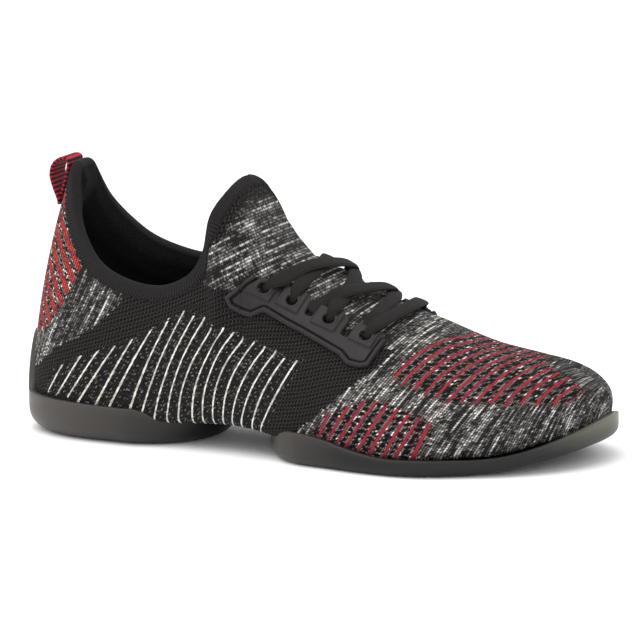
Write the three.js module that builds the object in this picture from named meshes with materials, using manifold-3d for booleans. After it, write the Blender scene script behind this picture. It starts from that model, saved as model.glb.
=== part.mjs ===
// Knit dance sneaker with a split sole: a right shoe, empty, standing as on a floor.
// Millimetres, +X towards the toe, +Y towards the inner (big toe) side, +Z up.
import * as THREE from "three";
import { mergeVertices } from "three/addons/utils/BufferGeometryUtils.js";
import Module from "manifold-3d";

const wasm = await Module();
wasm.setup();

// Driving sizes of the last and the upper
const LENGTH = 252; // heel to toe over the knit
const BALL_WIDTH = 92; // over the knit at the ball
const COLLAR_HEIGHT = 112; // floor to the rim at the heel
const INNER_LIFT = 4.5; // how much higher the collar stands beside the inner ankle
const TONGUE_HEIGHT = 110; // floor to the tip of the tongue
const INSTEP_HEIGHT = 60; // floor to the knit under the lowest lace
const TOE_HEIGHT = 41; // floor to the knit over the toes
const KNIT_WALL = 2.2;
const RIM_WALL = 4; // the knit doubled round the collar
const HEEL_PADDING = 3; // added inside, under the rim at the heel
const FEATHER_RADIUS = 6; // the turn from the wall under the foot
const LASTING_MARGIN = 10; // knit turned in under the foot over each sole pad

// Driving sizes of the sole
const RUBBER_WALL = 2.4; // the cup wall that hugs the knit
const HEEL_BED = 10; // floor to the knit's underside at the heel
const ARCH_BED = 12;
const BALL_BED = 5.5;
const TOE_BED = 14;
const HEEL_CUP = 17; // floor to the rubber's edge beside the heel
const HEEL_TAB = 41; // floor to the tip of the rubber tab behind the heel
const BALL_CUP = 7.5;
const PAD_END_CUP = 14; // at the rear end of the forefoot pad
const TOE_CUP = 20;
const TOE_SPRING = 9; // the tread's rise at the tip
const HEEL_ROUND = 10; // the tread's rounded edge at the heel
const FOREFOOT_ROUND = 6;
const HEEL_PAD_TIP = 89; // heel to the front end of the heel pad
const HEEL_PAD_SHOULDER = 58; // heel to where that end starts to round
const FOREFOOT_PAD_TIP = 116; // heel to the rear end of the forefoot pad
const FOREFOOT_PAD_SHOULDER = 136; // heel to where that end has rounded out

// Small parts
const INSOLE = 3.5;
const EYESTAY = 1.8;
const EYESTAY_RIM = 2; // the raised border round its outline
const EYESTAY_STEP = 0.7; // how far the field inside that border is sunk
const EYESTAY_LENGTH = 47; // first to last eyelet
const EYESTAY_DEPTH = 12; // the eyelets' line to the lower edge
const EYESTAY_START = 0.468 * LENGTH; // heel to the first eyelet
const EYELET_SPREAD = 0.315 * BALL_WIDTH; // from the ridge to the eyelets' line, seen from above
const EYELET = 4.6;
const EYELET_BOSS = 8.4;
const LACE_WIDTH = 6.5;
const LACE = 2.4; // its thickness
const LACE_BOW = 7; // how far each bar bows towards the toe
const LOOP_WIDTH = 13.5;
const LOOP_TAPE = 1.4;
const LOOP_REACH = 10; // how far it stands out behind the rim
const GAP = 0.3; // between two pieces that touch

// The upper's ribs, from the middle of the heel round either side to the middle of the toe.
// A rib leaves the sole at foot, a share of LENGTH, and as far from the spine as wide, a share of BALL_WIDTH.
// swing moves the foot to the inner side. Over the sole the rib leans out by belly of BALL_WIDTH
// and climbs by rise of COLLAR_HEIGHT.
const FEET = [
  { foot: 0.01, belly: 0.005, rise: 0.24 },
  { foot: 0.022, wide: 0.155, belly: 0.01, rise: 0.24 },
  { foot: 0.064, wide: 0.265, belly: 0.03, rise: 0.24 },
  { foot: 0.122, wide: 0.32, belly: 0.035, rise: 0.22 },
  { foot: 0.196, wide: 0.34, belly: 0.035, rise: 0.2 },
  { foot: 0.279, wide: 0.34, swing: -0.01, belly: 0.035, rise: 0.18 },
  { foot: 0.345, wide: 0.34, swing: -0.02, belly: 0.035, rise: 0.18 },
  { foot: 0.381, wide: 0.35, swing: -0.02, belly: 0.03, rise: 0.2 },
  { foot: 0.413, wide: 0.362, swing: -0.02, belly: 0.03, rise: 0.3 },
  { foot: 0.448, wide: 0.378, swing: -0.02, belly: 0.02, rise: 0.42 },
  { foot: 0.492, wide: 0.405, swing: -0.01, belly: 0.02, rise: 0.38 },
  { foot: 0.54, wide: 0.43, swing: -0.005, belly: 0.02, rise: 0.3 },
  { foot: 0.595, wide: 0.46, belly: 0.02, rise: 0.24 },
  { foot: 0.667, wide: 0.492, belly: 0.02, rise: 0.19 },
  { foot: 0.746, wide: 0.497, swing: 0.01, belly: 0.02, rise: 0.15 },
  { foot: 0.83, wide: 0.437, swing: 0.04, belly: 0.02, rise: 0.11 },
  { foot: 0.905, wide: 0.36, swing: 0.08, belly: 0.02, rise: 0.1 },
  { foot: 0.972, wide: 0.2, swing: 0.115, belly: 0.02, rise: 0.09 },
  { foot: 0.998, swing: 0.13, belly: 0.02, rise: 0.09 },
];
// The same ribs' upper ends, at top, a share of LENGTH, and rim, a share of BALL_WIDTH. sway moves an end
// to the inner side. Its height adds up shares of the four heights. A rib reaches it from fore of LENGTH,
// side of BALL_WIDTH and drop of TONGUE_HEIGHT below.
const ENDS = [
  { top: 0.085, collar: 1, fore: -0.043, drop: 0.27 },
  { top: 0.09, rim: 0.1, collar: 0.98, fore: -0.04, side: 0.02, drop: 0.26 },
  { top: 0.112, rim: 0.195, collar: 0.81, fore: -0.025, side: 0.05, drop: 0.24 },
  { top: 0.155, rim: 0.265, collar: 0.68, fore: -0.01, side: 0.06, drop: 0.22 },
  { top: 0.21, rim: 0.3, collar: 0.615, side: 0.06, drop: 0.2 },
  { top: 0.278, rim: 0.305, collar: 0.592, side: 0.06, drop: 0.18 },
  { top: 0.334, rim: 0.31, collar: 0.645, side: 0.05, drop: 0.18 },
  { top: 0.362, rim: 0.31, collar: 0.4, tongue: 0.35, fore: 0.005, side: 0.04, drop: 0.2 },
  { top: 0.378, rim: 0.29, collar: 0.08, tongue: 0.83, fore: 0.012, side: 0.13, drop: 0.12 },
  { top: 0.391, tongue: 1, fore: 0.02, side: 0.27, drop: 0.02 },
  { top: 0.42, tongue: 0.76, instep: 0.2, fore: 0.02, side: 0.3, drop: 0.01 },
  { top: 0.464, sway: 0.005, tongue: 0.38, instep: 0.655, fore: 0.02, side: 0.3 },
  { top: 0.524, sway: 0.01, tongue: 0.15, instep: 0.965, fore: 0.02, side: 0.3 },
  { top: 0.603, sway: 0.02, instep: 1.07, fore: 0.02, side: 0.3 },
  { top: 0.69, sway: 0.035, instep: 0.66, toe: 0.41, fore: 0.02, side: 0.3 },
  { top: 0.782, sway: 0.06, instep: 0.23, toe: 0.83, fore: 0.02, side: 0.27 },
  { top: 0.857, sway: 0.09, instep: 0.04, toe: 1, fore: 0.03, side: 0.22 },
  { top: 0.913, sway: 0.12, toe: 0.99, fore: 0.045, side: 0.13 },
  { top: 0.944, sway: 0.13, toe: 0.91, fore: 0.045 },
];
const TONGUE_RIB = 9; // where the collar's rim ends and the closed instep begins
const LIFT_RIBS = [0.5, 3, 6, 8.5]; // INNER_LIFT grows between the first two and fades between the last two
const PADDED_RIBS = [5, 2.5]; // the heel's padding grows from the first to the second
const TOE_RIB = FEET.length - 1;
const OUTER = -1;
const INNER = 1;

// Heights of the knit's underside along the shoe: at is a share of LENGTH
const BED = [
  { at: 0, z: HEEL_BED },
  { at: 0.25, z: HEEL_BED },
  { at: 0.42, z: ARCH_BED },
  { at: 0.58, z: BALL_BED + 1.5 },
  { at: 0.72, z: BALL_BED },
  { at: 0.84, z: BALL_BED + 1.5 },
  { at: 1, z: TOE_BED },
];

// The eyestay's outline, from its rear end along the top to the front and back along the bottom.
// along is a share of EYESTAY_LENGTH from the first eyelet, up a share of EYESTAY_DEPTH.
const EYESTAY_OUTLINE = [
  { along: -0.28, up: -0.82 },
  { along: -0.14, up: 0.22 },
  { along: 0.16, up: 0.52 },
  { along: 0.36, up: 0.6 },
  { along: 0.42, up: 0.4 },
  { along: 0.43, up: -0.15 },
  { along: 0.49, up: -0.15 },
  { along: 0.5, up: 0.4 },
  { along: 0.76, up: 0.48 },
  { along: 0.8, up: 0.3 },
  { along: 0.8, up: -0.3 },
  { along: 0.86, up: -0.3 },
  { along: 0.86, up: 0.38 },
  { along: 1.13, up: 0.46 },
  { along: 1.18, up: 0.1 },
  { along: 1.17, up: -0.95 },
  { along: 1.1, up: -1.13 },
  { along: 0.98, up: -1.2 },
  { along: 0.88, up: -1.0 },
  { along: 0.46, up: -0.8 },
  { along: 0.1, up: -0.7 },
  { along: 0.02, up: -1.03 },
  { along: -0.2, up: -1.05 },
];
const EYELETS = [
  { along: 0, up: 0 },
  { along: 0.27, up: 0.08 },
  { along: 0.64, up: 0 },
  { along: 1, up: 0 },
];
// The lace's bars: near and far count eyelets on the outer and inner side, lift is the height over the ridge
const BARS = [
  { near: 0, far: 1.4, lift: 3.8 },
  { near: 1, far: 0.2, lift: 2 },
  { near: 1.5, far: 2.4, lift: 3.8 },
  { near: 2, far: 1, lift: 2 },
  { near: 2.8, far: 2.2, lift: 2 },
  { near: 3, far: 3.2, lift: 2.6 },
];

const mix = (a, b, t) => a + (b - a) * t;
const clamp = (v, low, high) => Math.min(high, Math.max(low, v));
const smooth = (low, high, v) => {
  const t = clamp((v - low) / (high - low), 0, 1);
  return t * t * (3 - 2 * t);
};

// A smooth curve through four values, between the middle two
function throughFour(a, b, c, d, t) {
  const bend = 2 * b + (c - a) * t + (2 * a - 5 * b + 4 * c - d) * t * t;
  return 0.5 * (bend + (3 * b - a - 3 * c + d) * t * t * t);
}

// A table's row between two of its rows. A column left out of a row is 0 there.
function rowAt(table, place) {
  const i = clamp(Math.floor(place), 0, table.length - 2);
  const value = (k, key) => table[clamp(k, 0, table.length - 1)][key] ?? 0;
  const made = {};
  for (const key of new Set(table.flatMap(Object.keys))) {
    const [a, b, c, d] = [i - 1, i, i + 1, i + 2].map((k) => value(k, key));
    made[key] = throughFour(a, b, c, d, place - i);
  }
  return made;
}

// The height of the knit's underside at x
function bedAt(x) {
  const at = clamp(x / LENGTH, 0, 1);
  const i = clamp(BED.findIndex((row) => row.at >= at) - 1, 0, BED.length - 2);
  return mix(BED[i].z, BED[i + 1].z, smooth(BED[i].at, BED[i + 1].at, at));
}

const MIDDLE_BACK = 0.11; // shares of LENGTH: where the ribs meet under the heel
const MIDDLE_FRONT = 0.88; // and under the toes

// One rib's main points: under the foot, at the sole's edge and at its upper end
function ribEnds(side, station) {
  const r = { ...rowAt(FEET, station), ...rowAt(ENDS, station) };
  const spine = r.swing * BALL_WIDTH;
  const foot = new THREE.Vector3(r.foot * LENGTH, spine + side * r.wide * BALL_WIDTH, bedAt(r.foot * LENGTH));
  const middleX = mix(MIDDLE_BACK, MIDDLE_FRONT, r.foot) * LENGTH;
  const middle = new THREE.Vector3(middleX, spine, bedAt(middleX));
  const [from, full, still, to] = LIFT_RIBS;
  const lift = side === INNER ? INNER_LIFT * smooth(from, full, station) * smooth(to, still, station) : 0;
  const rising = r.collar * COLLAR_HEIGHT + r.tongue * TONGUE_HEIGHT;
  const height = rising + r.instep * INSTEP_HEIGHT + r.toe * TOE_HEIGHT + lift;
  const rim = station >= TONGUE_RIB ? 0 : r.rim;
  const end = new THREE.Vector3(r.top * LENGTH, (r.sway + side * rim) * BALL_WIDTH, height);
  const out = new THREE.Vector3(foot.x - middle.x, foot.y - middle.y, 0).normalize();
  return { r, foot, middle, end, out };
}

const UNDER_SHARE = 0.16; // of a rib, the stretch under the foot
const TURN_SHARE = 0.28; // up to here, the turn at the sole's edge

// A point on the outside of the upper: station counts ribs from the heel, height runs from under the foot up
function upperPoint(side, station, height) {
  const { r, foot, middle, end, out } = ribEnds(side, station);
  const under = foot.clone().lerp(middle, FEATHER_RADIUS / foot.distanceTo(middle));
  const over = foot.clone().setZ(foot.z + FEATHER_RADIUS);
  if (height < UNDER_SHARE) return middle.lerp(under, height / UNDER_SHARE);
  if (height < TURN_SHARE) {
    const t = (height - UNDER_SHARE) / (TURN_SHARE - UNDER_SHARE);
    return new THREE.QuadraticBezierCurve3(under, foot, over).getPoint(t);
  }
  const low = over.clone().addScaledVector(out, r.belly * BALL_WIDTH);
  low.z += r.rise * COLLAR_HEIGHT;
  const drop = station < TONGUE_RIB ? r.drop * TONGUE_HEIGHT : ridgeSlope(station) * r.fore * LENGTH;
  const high = new THREE.Vector3(r.fore * LENGTH, side * r.side * BALL_WIDTH, -drop).add(end);
  return new THREE.CubicBezierCurve3(over, low, high, end).getPoint((height - TURN_SHARE) / (1 - TURN_SHARE));
}

// How steeply the instep falls towards the toe
function ridgeSlope(station) {
  const a = ribEnds(INNER, Math.max(TONGUE_RIB, station - STATION_STEP)).end;
  const b = ribEnds(INNER, Math.min(TOE_RIB, station + STATION_STEP)).end;
  return (a.z - b.z) / (b.x - a.x);
}

const STATION_STEP = 0.5;
const STATIONS = TOE_RIB / STATION_STEP;
const HEIGHTS = [0, 0.16, 0.2, 0.24, 0.28, 0.35, 0.43, 0.51, 0.59, 0.67, 0.75, 0.83, 0.9, 0.955, 1];

// The upper's outside as rows of points for both sides, with the normal of each
function upperGrid() {
  const points = new Map();
  const grid = [OUTER, INNER].map((side) =>
    Array.from({ length: STATIONS + 1 }, (_, j) =>
      HEIGHTS.map((h) => {
        const p = upperPoint(side, j * STATION_STEP, h);
        const key = p.toArray().map((v) => Math.round(v * 200)).join();
        if (!points.has(key)) points.set(key, { p, n: new THREE.Vector3() });
        return points.get(key);
      }),
    ),
  );
  const cross = new THREE.Vector3();
  for (const [s, columns] of grid.entries())
    for (let j = 0; j < STATIONS; j++)
      for (let i = 0; i < HEIGHTS.length - 1; i++) {
        const [a, b, c, d] = [columns[j][i], columns[j + 1][i], columns[j + 1][i + 1], columns[j][i + 1]];
        cross.crossVectors(c.p.clone().sub(a.p), d.p.clone().sub(b.p));
        if (s === 1) cross.negate();
        for (const corner of new Set([a, b, c, d])) corner.n.add(cross);
      }
  for (const { n } of points.values()) n.normalize();
  return grid;
}
const GRID = upperGrid();
const pushed = (corner, offset) => corner.p.clone().addScaledVector(corner.n, offset);

// Triangles gathered by hand, made into a solid
class Skin {
  constructor() {
    this.corners = [];
  }
  triangle(a, b, c) {
    this.corners.push(a, b, c);
  }
  // Four corners, split along the shorter diagonal
  quad(a, b, c, d) {
    if (a.distanceToSquared(c) > b.distanceToSquared(d)) [a, b, c, d] = [b, c, d, a];
    this.triangle(a, b, c);
    this.triangle(a, c, d);
  }
  // Two neighbouring lines of points as a strip of quads
  strip(one, two) {
    for (let i = 0; i < one.length - 1; i++) this.quad(one[i], two[i], two[i + 1], one[i + 1]);
  }
  solid() {
    const geometry = new THREE.BufferGeometry().setFromPoints(this.corners);
    return toSolid(geometry);
  }
}

function toSolid(geometry) {
  const bare = geometry.index ? geometry.toNonIndexed() : geometry.clone();
  for (const name of Object.keys(bare.attributes)) if (name !== "position") bare.deleteAttribute(name);
  const merged = mergeVertices(bare, 1e-3);
  const corners = merged.index.array;
  const kept = [];
  for (let i = 0; i < corners.length; i += 3) {
    const [a, b, c] = [corners[i], corners[i + 1], corners[i + 2]];
    if (a !== b && b !== c && a !== c) kept.push(a, b, c);
  }
  const made = new wasm.Manifold(
    new wasm.Mesh({
      numProp: 3,
      vertProperties: merged.attributes.position.array,
      triVerts: new Uint32Array(kept),
    }),
  );
  return made;
}

function toGeometry(solid) {
  const mesh = solid.getMesh();
  const places = new Float32Array(mesh.numVert * 3);
  for (let i = 0; i < mesh.numVert; i++)
    places.set(mesh.vertProperties.subarray(i * mesh.numProp, i * mesh.numProp + 3), i * 3);
  const geometry = new THREE.BufferGeometry();
  geometry.setAttribute("position", new THREE.BufferAttribute(places, 3));
  geometry.setIndex(new THREE.BufferAttribute(new Uint32Array(mesh.triVerts), 1));
  geometry.computeVertexNormals();
  return geometry;
}

// The form inside the upper's outline as one closed solid, grown by offset, with the collar closed across.
// every is how many stations one facet spans.
function filledUpper(offset, every = 1) {
  const skin = new Skin();
  const rims = [];
  for (const [s, columns] of GRID.entries()) {
    const kept = columns.filter((_, j) => j % every === 0);
    const lines = kept.map((column) => column.map((corner) => pushed(corner, offset)));
    for (let j = 0; j < lines.length - 1; j++)
      if (s === 0) skin.strip(lines[j], lines[j + 1]);
      else skin.strip(lines[j + 1], lines[j]);
    rims.push(lines.slice(0, TONGUE_RIB / STATION_STEP / every + 1).map((line) => line.at(-1)));
  }
  skin.strip(rims[1], rims[0]);
  return skin.solid();
}

// How thick the knit is at a station and height
function wallAt(station, height) {
  const padded = smooth(...PADDED_RIBS, station) * smooth(0.5, 0.8, height) * smooth(1.02, 0.9, height);
  const rim = smooth(0.9, 0.96, height) * smooth(TONGUE_RIB + 2, TONGUE_RIB, station);
  return KNIT_WALL + HEEL_PADDING * padded + (RIM_WALL - KNIT_WALL) * rim;
}

const RIM_ROUND = 0.35; // of the wall, how far the rim's middle stands up

// The upper: one knitted wall, open at the collar and over each sole pad
function makeUpper() {
  const skin = new Skin();
  const ends = [];
  const last = TONGUE_RIB / STATION_STEP;
  for (const [s, columns] of GRID.entries()) {
    const outside = columns.map((column) => column.map((corner) => corner.p));
    const inside = columns.map((column, j) =>
      column.map((corner, i) => pushed(corner, -wallAt(j * STATION_STEP, HEIGHTS[i]))),
    );
    const rim = outside.slice(0, last + 1).map((line, j) => {
      const up = line.at(-1).clone().sub(line.at(-2)).normalize();
      const middle = line.at(-1).clone().add(inside[j].at(-1)).divideScalar(2);
      return middle.addScaledVector(up, RIM_ROUND * RIM_WALL);
    });
    if (s === 0) ends.push(rim[0], rim[last]);
    else [rim[0], rim[last]] = ends;
    const strip = (one, two) => (s === 0 ? skin.strip(one, two) : skin.strip(two, one));
    for (let j = 0; j < STATIONS; j++) {
      strip(outside[j], outside[j + 1]);
      strip(inside[j + 1], inside[j]);
      if (j < last)
        strip(
          [outside[j].at(-1), rim[j], inside[j].at(-1)],
          [outside[j + 1].at(-1), rim[j + 1], inside[j + 1].at(-1)],
        );
    }
  }
  const holes = [HEEL_RING, FOREFOOT_RING].map((ring) => {
    const top = Math.max(HEEL_BED, ARCH_BED, TOE_BED) + 2 * KNIT_WALL;
    const rows = [-1, top].map((z) =>
      ring.map(({ p, n }) => new THREE.Vector3(p.x - n.x * LASTING_MARGIN, p.y - n.y * LASTING_MARGIN, z)),
    );
    return ringSolid(rows);
  });
  return holes.reduce((solid, hole) => solid.subtract(hole), skin.solid());
}

// A solid from closed rows of points, the lowest first, each row's first point at one end of the shoe
function ringSolid(rows) {
  const skin = new Skin();
  const count = rows[0].length;
  const around = (row) => [...row, row[0]];
  for (let k = 0; k < rows.length - 1; k++) {
    const [low, high] = [around(rows[k]), around(rows[k + 1])];
    for (let i = 0; i < count; i++) skin.quad(low[i], low[i + 1], high[i + 1], high[i]);
  }
  const [bottom, top] = [around(rows[0]), around(rows.at(-1))];
  for (let i = 0; i < count / 2; i++) {
    skin.quad(bottom[i + 1], bottom[i], bottom[count - i], bottom[count - i - 1]);
    skin.quad(top[i], top[i + 1], top[count - i - 1], top[count - i]);
  }
  return skin.solid();
}

// The station whose rib leaves the sole at x
function stationAt(x) {
  let [low, high] = [0, TOE_RIB];
  for (let k = 0; k < 24; k++) {
    const half = (low + high) / 2;
    if (rowAt(FEET, half).foot * LENGTH < x) low = half;
    else high = half;
  }
  return low;
}

// A pad's outline seen from above, from its middle end round the outer side and back along the inner side.
// start and stop are stations, and tip is where the pad's rounded end reaches along the shoe.
function padRing(start, stop, tip, steps) {
  const edge = (side, station) => ({ p: ribEnds(side, station).foot, side, station });
  const stations = [];
  for (let k = 0; k <= steps; k++) stations.push(mix(start, stop, k / steps));
  const outer = stations.map((station) => edge(OUTER, station));
  const inner = stations.map((station) => edge(INNER, station));
  const end = tip > outer.at(-1).p.x ? "front" : "rear";
  const from = end === "front" ? outer.at(-1) : outer[0];
  const to = end === "front" ? inner.at(-1) : inner[0];
  const arc = [];
  for (let k = 1; k < END_STEPS; k++) {
    const angle = (Math.PI * k) / END_STEPS;
    const [a, b] = end === "front" ? [from.p, to.p] : [to.p, from.p];
    const y = mix(a.y, b.y, (1 - Math.cos(angle)) / 2);
    const x = a.x + (tip - a.x) * Math.sin(angle);
    arc.push({ p: new THREE.Vector3(x, y, bedAt(x)), end: Math.sin(angle) });
  }
  const half = END_STEPS / 2;
  let ring;
  if (end === "front") ring = [...outer, ...arc, ...inner.reverse().slice(0, -1)];
  else {
    inner.pop();
    ring = [...arc.slice(half - 1), ...outer, ...inner.reverse(), ...arc.slice(0, half - 1)];
  }
  const count = ring.length;
  for (let pass = 0; pass < CORNER_PASSES; pass++) {
    const before = ring.map(({ p }) => p.clone());
    for (const [i, point] of ring.entries()) {
      const [a, b] = [ring[(i + count - 1) % count], ring[(i + 1) % count]];
      if (a.end === undefined && b.end === undefined) continue;
      const near = before[(i + count - 1) % count].clone().add(before[(i + 1) % count]).divideScalar(2);
      point.p = before[i].lerp(near, 0.5);
    }
  }
  for (const [i, point] of ring.entries()) {
    const [a, b] = [ring[(i + count - 1) % count].p, ring[(i + 1) % count].p];
    point.n = new THREE.Vector3(b.y - a.y, a.x - b.x, 0).normalize();
  }
  return ring;
}
const END_STEPS = 12;
const CORNER_PASSES = 3; // that soften the corners where a pad's end leaves the shoe's outline
const HEEL_RING = padRing(0, stationAt(HEEL_PAD_SHOULDER), HEEL_PAD_TIP, 14);
const FOREFOOT_RING = padRing(stationAt(FOREFOOT_PAD_SHOULDER), TOE_RIB, FOREFOOT_PAD_TIP, 16);

// The tread's height over the floor
const springAt = (x) => TOE_SPRING * clamp((x / LENGTH - 0.78) / 0.22, 0, 1.1) ** 2;

// Where the knit's outside stands at a height, and its normal, at a station
function sideAt(side, station, z) {
  let [low, high] = [TURN_SHARE, 1];
  for (let k = 0; k < 24; k++) {
    const half = (low + high) / 2;
    if (upperPoint(side, station, half).z < z) low = half;
    else high = half;
  }
  return upperPoint(side, station, low);
}

// A rubber pad that cups the knit
function makePad(ring, round, cupAt) {
  const rows = [];
  const wall = GAP + RUBBER_WALL;
  const knitAt = ({ p, side, station }, z) => {
    if (side === undefined || z < p.z + FEATHER_RADIUS) return p;
    return sideAt(side, station, z);
  };
  const place = (point, z, offset) => {
    const base = knitAt(point, z);
    return new THREE.Vector3(base.x + point.n.x * offset, base.y + point.n.y * offset, z);
  };
  for (const angle of [0, 30, 60, 90]) {
    const turn = THREE.MathUtils.degToRad(angle);
    rows.push(
      ring.map((point) => {
        const rise = Math.min(round, point.p.z - springAt(point.p.x) - 0.5);
        const z = springAt(point.p.x) + rise * (1 - Math.cos(turn));
        return place(point, z, wall - round * (1 - Math.sin(turn)));
      }),
    );
  }
  for (const [share, offset] of [[0.5, wall], [0.9, wall], [1, wall - 1], [1, -1]])
    rows.push(
      ring.map((point) => {
        const low = Math.min(round + springAt(point.p.x), point.p.z - 0.5);
        return place(point, mix(low, cupAt(point), share), offset);
      }),
    );
  return ringSolid(rows).subtract(filledUpper(GAP));
}

const TAB_STATIONS = [0.3, 1]; // where the tab behind the heel falls to the cup's edge
const WAIST_RIBS = [1, 5]; // between these the edge falls another millimetre
function heelCup({ p, station, end }) {
  if (end !== undefined) return mix(HEEL_CUP - 1, p.z + 1, smooth(0, 0.6, end));
  return mix(HEEL_TAB, HEEL_CUP, smooth(...TAB_STATIONS, station)) - smooth(...WAIST_RIBS, station);
}
function forefootCup({ p, end }) {
  if (end !== undefined) return mix(PAD_END_CUP, p.z + 1, smooth(0.1, 0.7, end));
  const at = p.x / LENGTH;
  const falling = mix(PAD_END_CUP, BALL_CUP, smooth(0.54, 0.72, at));
  return falling + (TOE_CUP - BALL_CUP) * clamp((at - 0.83) / 0.17, 0, 1) ** 2;
}

function makeInsole() {
  const stations = Array.from({ length: TOE_RIB + 1 }, (_, k) => k);
  const outer = stations.map((station) => ribEnds(OUTER, station).foot);
  const inner = stations.map((station) => ribEnds(INNER, station).foot);
  const ring = [...outer, ...inner.slice(1, -1).reverse()];
  const rows = [0, INSOLE].map((up) => ring.map((p) => p.clone().setZ(p.z + KNIT_WALL + GAP + up)));
  return ringSolid(rows).intersect(filledUpper(-KNIT_WALL - GAP, 2));
}

// Where a straight line meets the knit's outside
const knitSurface = new THREE.Mesh(toGeometry(filledUpper(0)));
const caster = new THREE.Raycaster();
const ABOVE = 3 * TONGUE_HEIGHT;
function knitFrom(origin, direction) {
  caster.set(origin.clone().addScaledVector(direction, -ABOVE), direction);
  return caster.intersectObject(knitSurface)[0].point;
}
const DOWN = new THREE.Vector3(0, 0, -1);
const knitUnder = (x, y) => knitFrom(new THREE.Vector3(x, y, 0), DOWN);

// The knit's outward direction at a place seen from above, taken over a lace's width
function outwardAt(x, y) {
  const reach = LACE_WIDTH / 2;
  const along = knitUnder(x + reach, y).sub(knitUnder(x - reach, y));
  const across = knitUnder(x, y + reach).sub(knitUnder(x, y - reach));
  return along.cross(across).normalize();
}

// The flat frame an eyestay is drawn in: its origin on the first eyelet, u along the eyelets, v up, n out
function stayFrame(side) {
  const first = knitUnder(EYESTAY_START, side * EYELET_SPREAD);
  const last = knitUnder(EYESTAY_START + EYESTAY_LENGTH, side * EYELET_SPREAD * 0.9);
  const u = last.clone().sub(first).normalize();
  const middle = first.clone().lerp(last, 0.5);
  const n = outwardAt(middle.x, middle.y + side * EYESTAY_DEPTH * 0.25);
  n.addScaledVector(u, -n.dot(u)).normalize();
  const v = n.clone().cross(u).multiplyScalar(-side);
  return { first, u, v, n };
}
const FRAMES = { [OUTER]: stayFrame(OUTER), [INNER]: stayFrame(INNER) };

// A place in an eyestay's frame, on the knit
function onStay(side, { along, up }) {
  const { first, u, v, n } = FRAMES[side];
  const flat = first.clone().addScaledVector(u, along * EYESTAY_LENGTH);
  flat.addScaledVector(v, up * EYESTAY_DEPTH);
  return knitFrom(flat, n.clone().negate());
}

// A flat outline run straight through an eyestay
function stayPrism(side, shape) {
  const { first, u, v, n } = FRAMES[side];
  const depth = 4 * EYESTAY_DEPTH;
  const geometry = new THREE.ExtrudeGeometry(shape, { depth, bevelEnabled: false, curveSegments: 5 });
  const start = first.clone().addScaledVector(n, -depth / 2);
  const flip = side === OUTER ? 1 : -1;
  const turned = new THREE.Matrix4().makeBasis(u.clone().multiplyScalar(flip), v, n);
  geometry.applyMatrix4(turned.setPosition(start));
  return toSolid(geometry);
}
const stayPoint = (side, { along, up }) =>
  new THREE.Vector2(-side * along * EYESTAY_LENGTH, up * EYESTAY_DEPTH);

// An outline's points moved inwards by distance
function inset(points, distance) {
  const count = points.length;
  const turn = THREE.ShapeUtils.area(points) > 0 ? 1 : -1;
  return points.map((point, i) => {
    const before = point.clone().sub(points[(i + count - 1) % count]).normalize();
    const after = points[(i + 1) % count].clone().sub(point).normalize();
    const inward = new THREE.Vector2(-before.y - after.y, before.x + after.x).multiplyScalar(turn);
    return point.clone().addScaledVector(inward, distance / (1 + before.dot(after)));
  });
}

// A moulded eyestay on the knit: a raised border, a sunk field and a boss round each eyelet
function makeEyestay(side) {
  const points = EYESTAY_OUTLINE.map((row) => stayPoint(side, row));
  const discs = (diameter) =>
    EYELETS.map((row) => {
      const { x, y } = stayPoint(side, row);
      return stayPrism(side, new THREE.Shape().absarc(x, y, diameter / 2, 0, 2 * Math.PI));
    });
  const shell = filledUpper(GAP + EYESTAY).subtract(filledUpper(GAP));
  let field = stayPrism(side, new THREE.Shape(inset(points, EYESTAY_RIM)));
  for (const boss of discs(EYELET_BOSS)) field = field.subtract(boss);
  field = field.subtract(filledUpper(GAP + EYESTAY - EYESTAY_STEP));
  const stay = shell.intersect(stayPrism(side, new THREE.Shape(points))).subtract(field);
  return discs(EYELET).reduce((solid, hole) => solid.subtract(hole), stay);
}

// A closed band along a path: each step has its place, its outward and its sideways direction
function band(steps, section) {
  const skin = new Skin();
  const rings = steps.map(({ p, out, across }) =>
    section.map(([w, h]) => p.clone().addScaledVector(across, w).addScaledVector(out, h)),
  );
  const count = section.length;
  for (let k = 0; k < rings.length - 1; k++)
    for (let i = 0; i < count; i++) {
      const j = (i + 1) % count;
      skin.quad(rings[k][i], rings[k][j], rings[k + 1][j], rings[k + 1][i]);
    }
  for (let i = 1; i < count - 1; i++) {
    skin.triangle(rings[0][0], rings[0][i + 1], rings[0][i]);
    skin.triangle(rings.at(-1)[0], rings.at(-1)[i], rings.at(-1)[i + 1]);
  }
  return skin.solid();
}

// A flat lace's section: half its width and half its thickness at the widest
const LACE_SECTION = [
  [0.5, 0],
  [0.32, 0.5],
  [-0.32, 0.5],
  [-0.5, 0],
  [-0.32, -0.5],
  [0.32, -0.5],
].map(([w, h]) => [w * LACE_WIDTH, h * LACE]);
const LACE_STEPS = 10;

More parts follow.
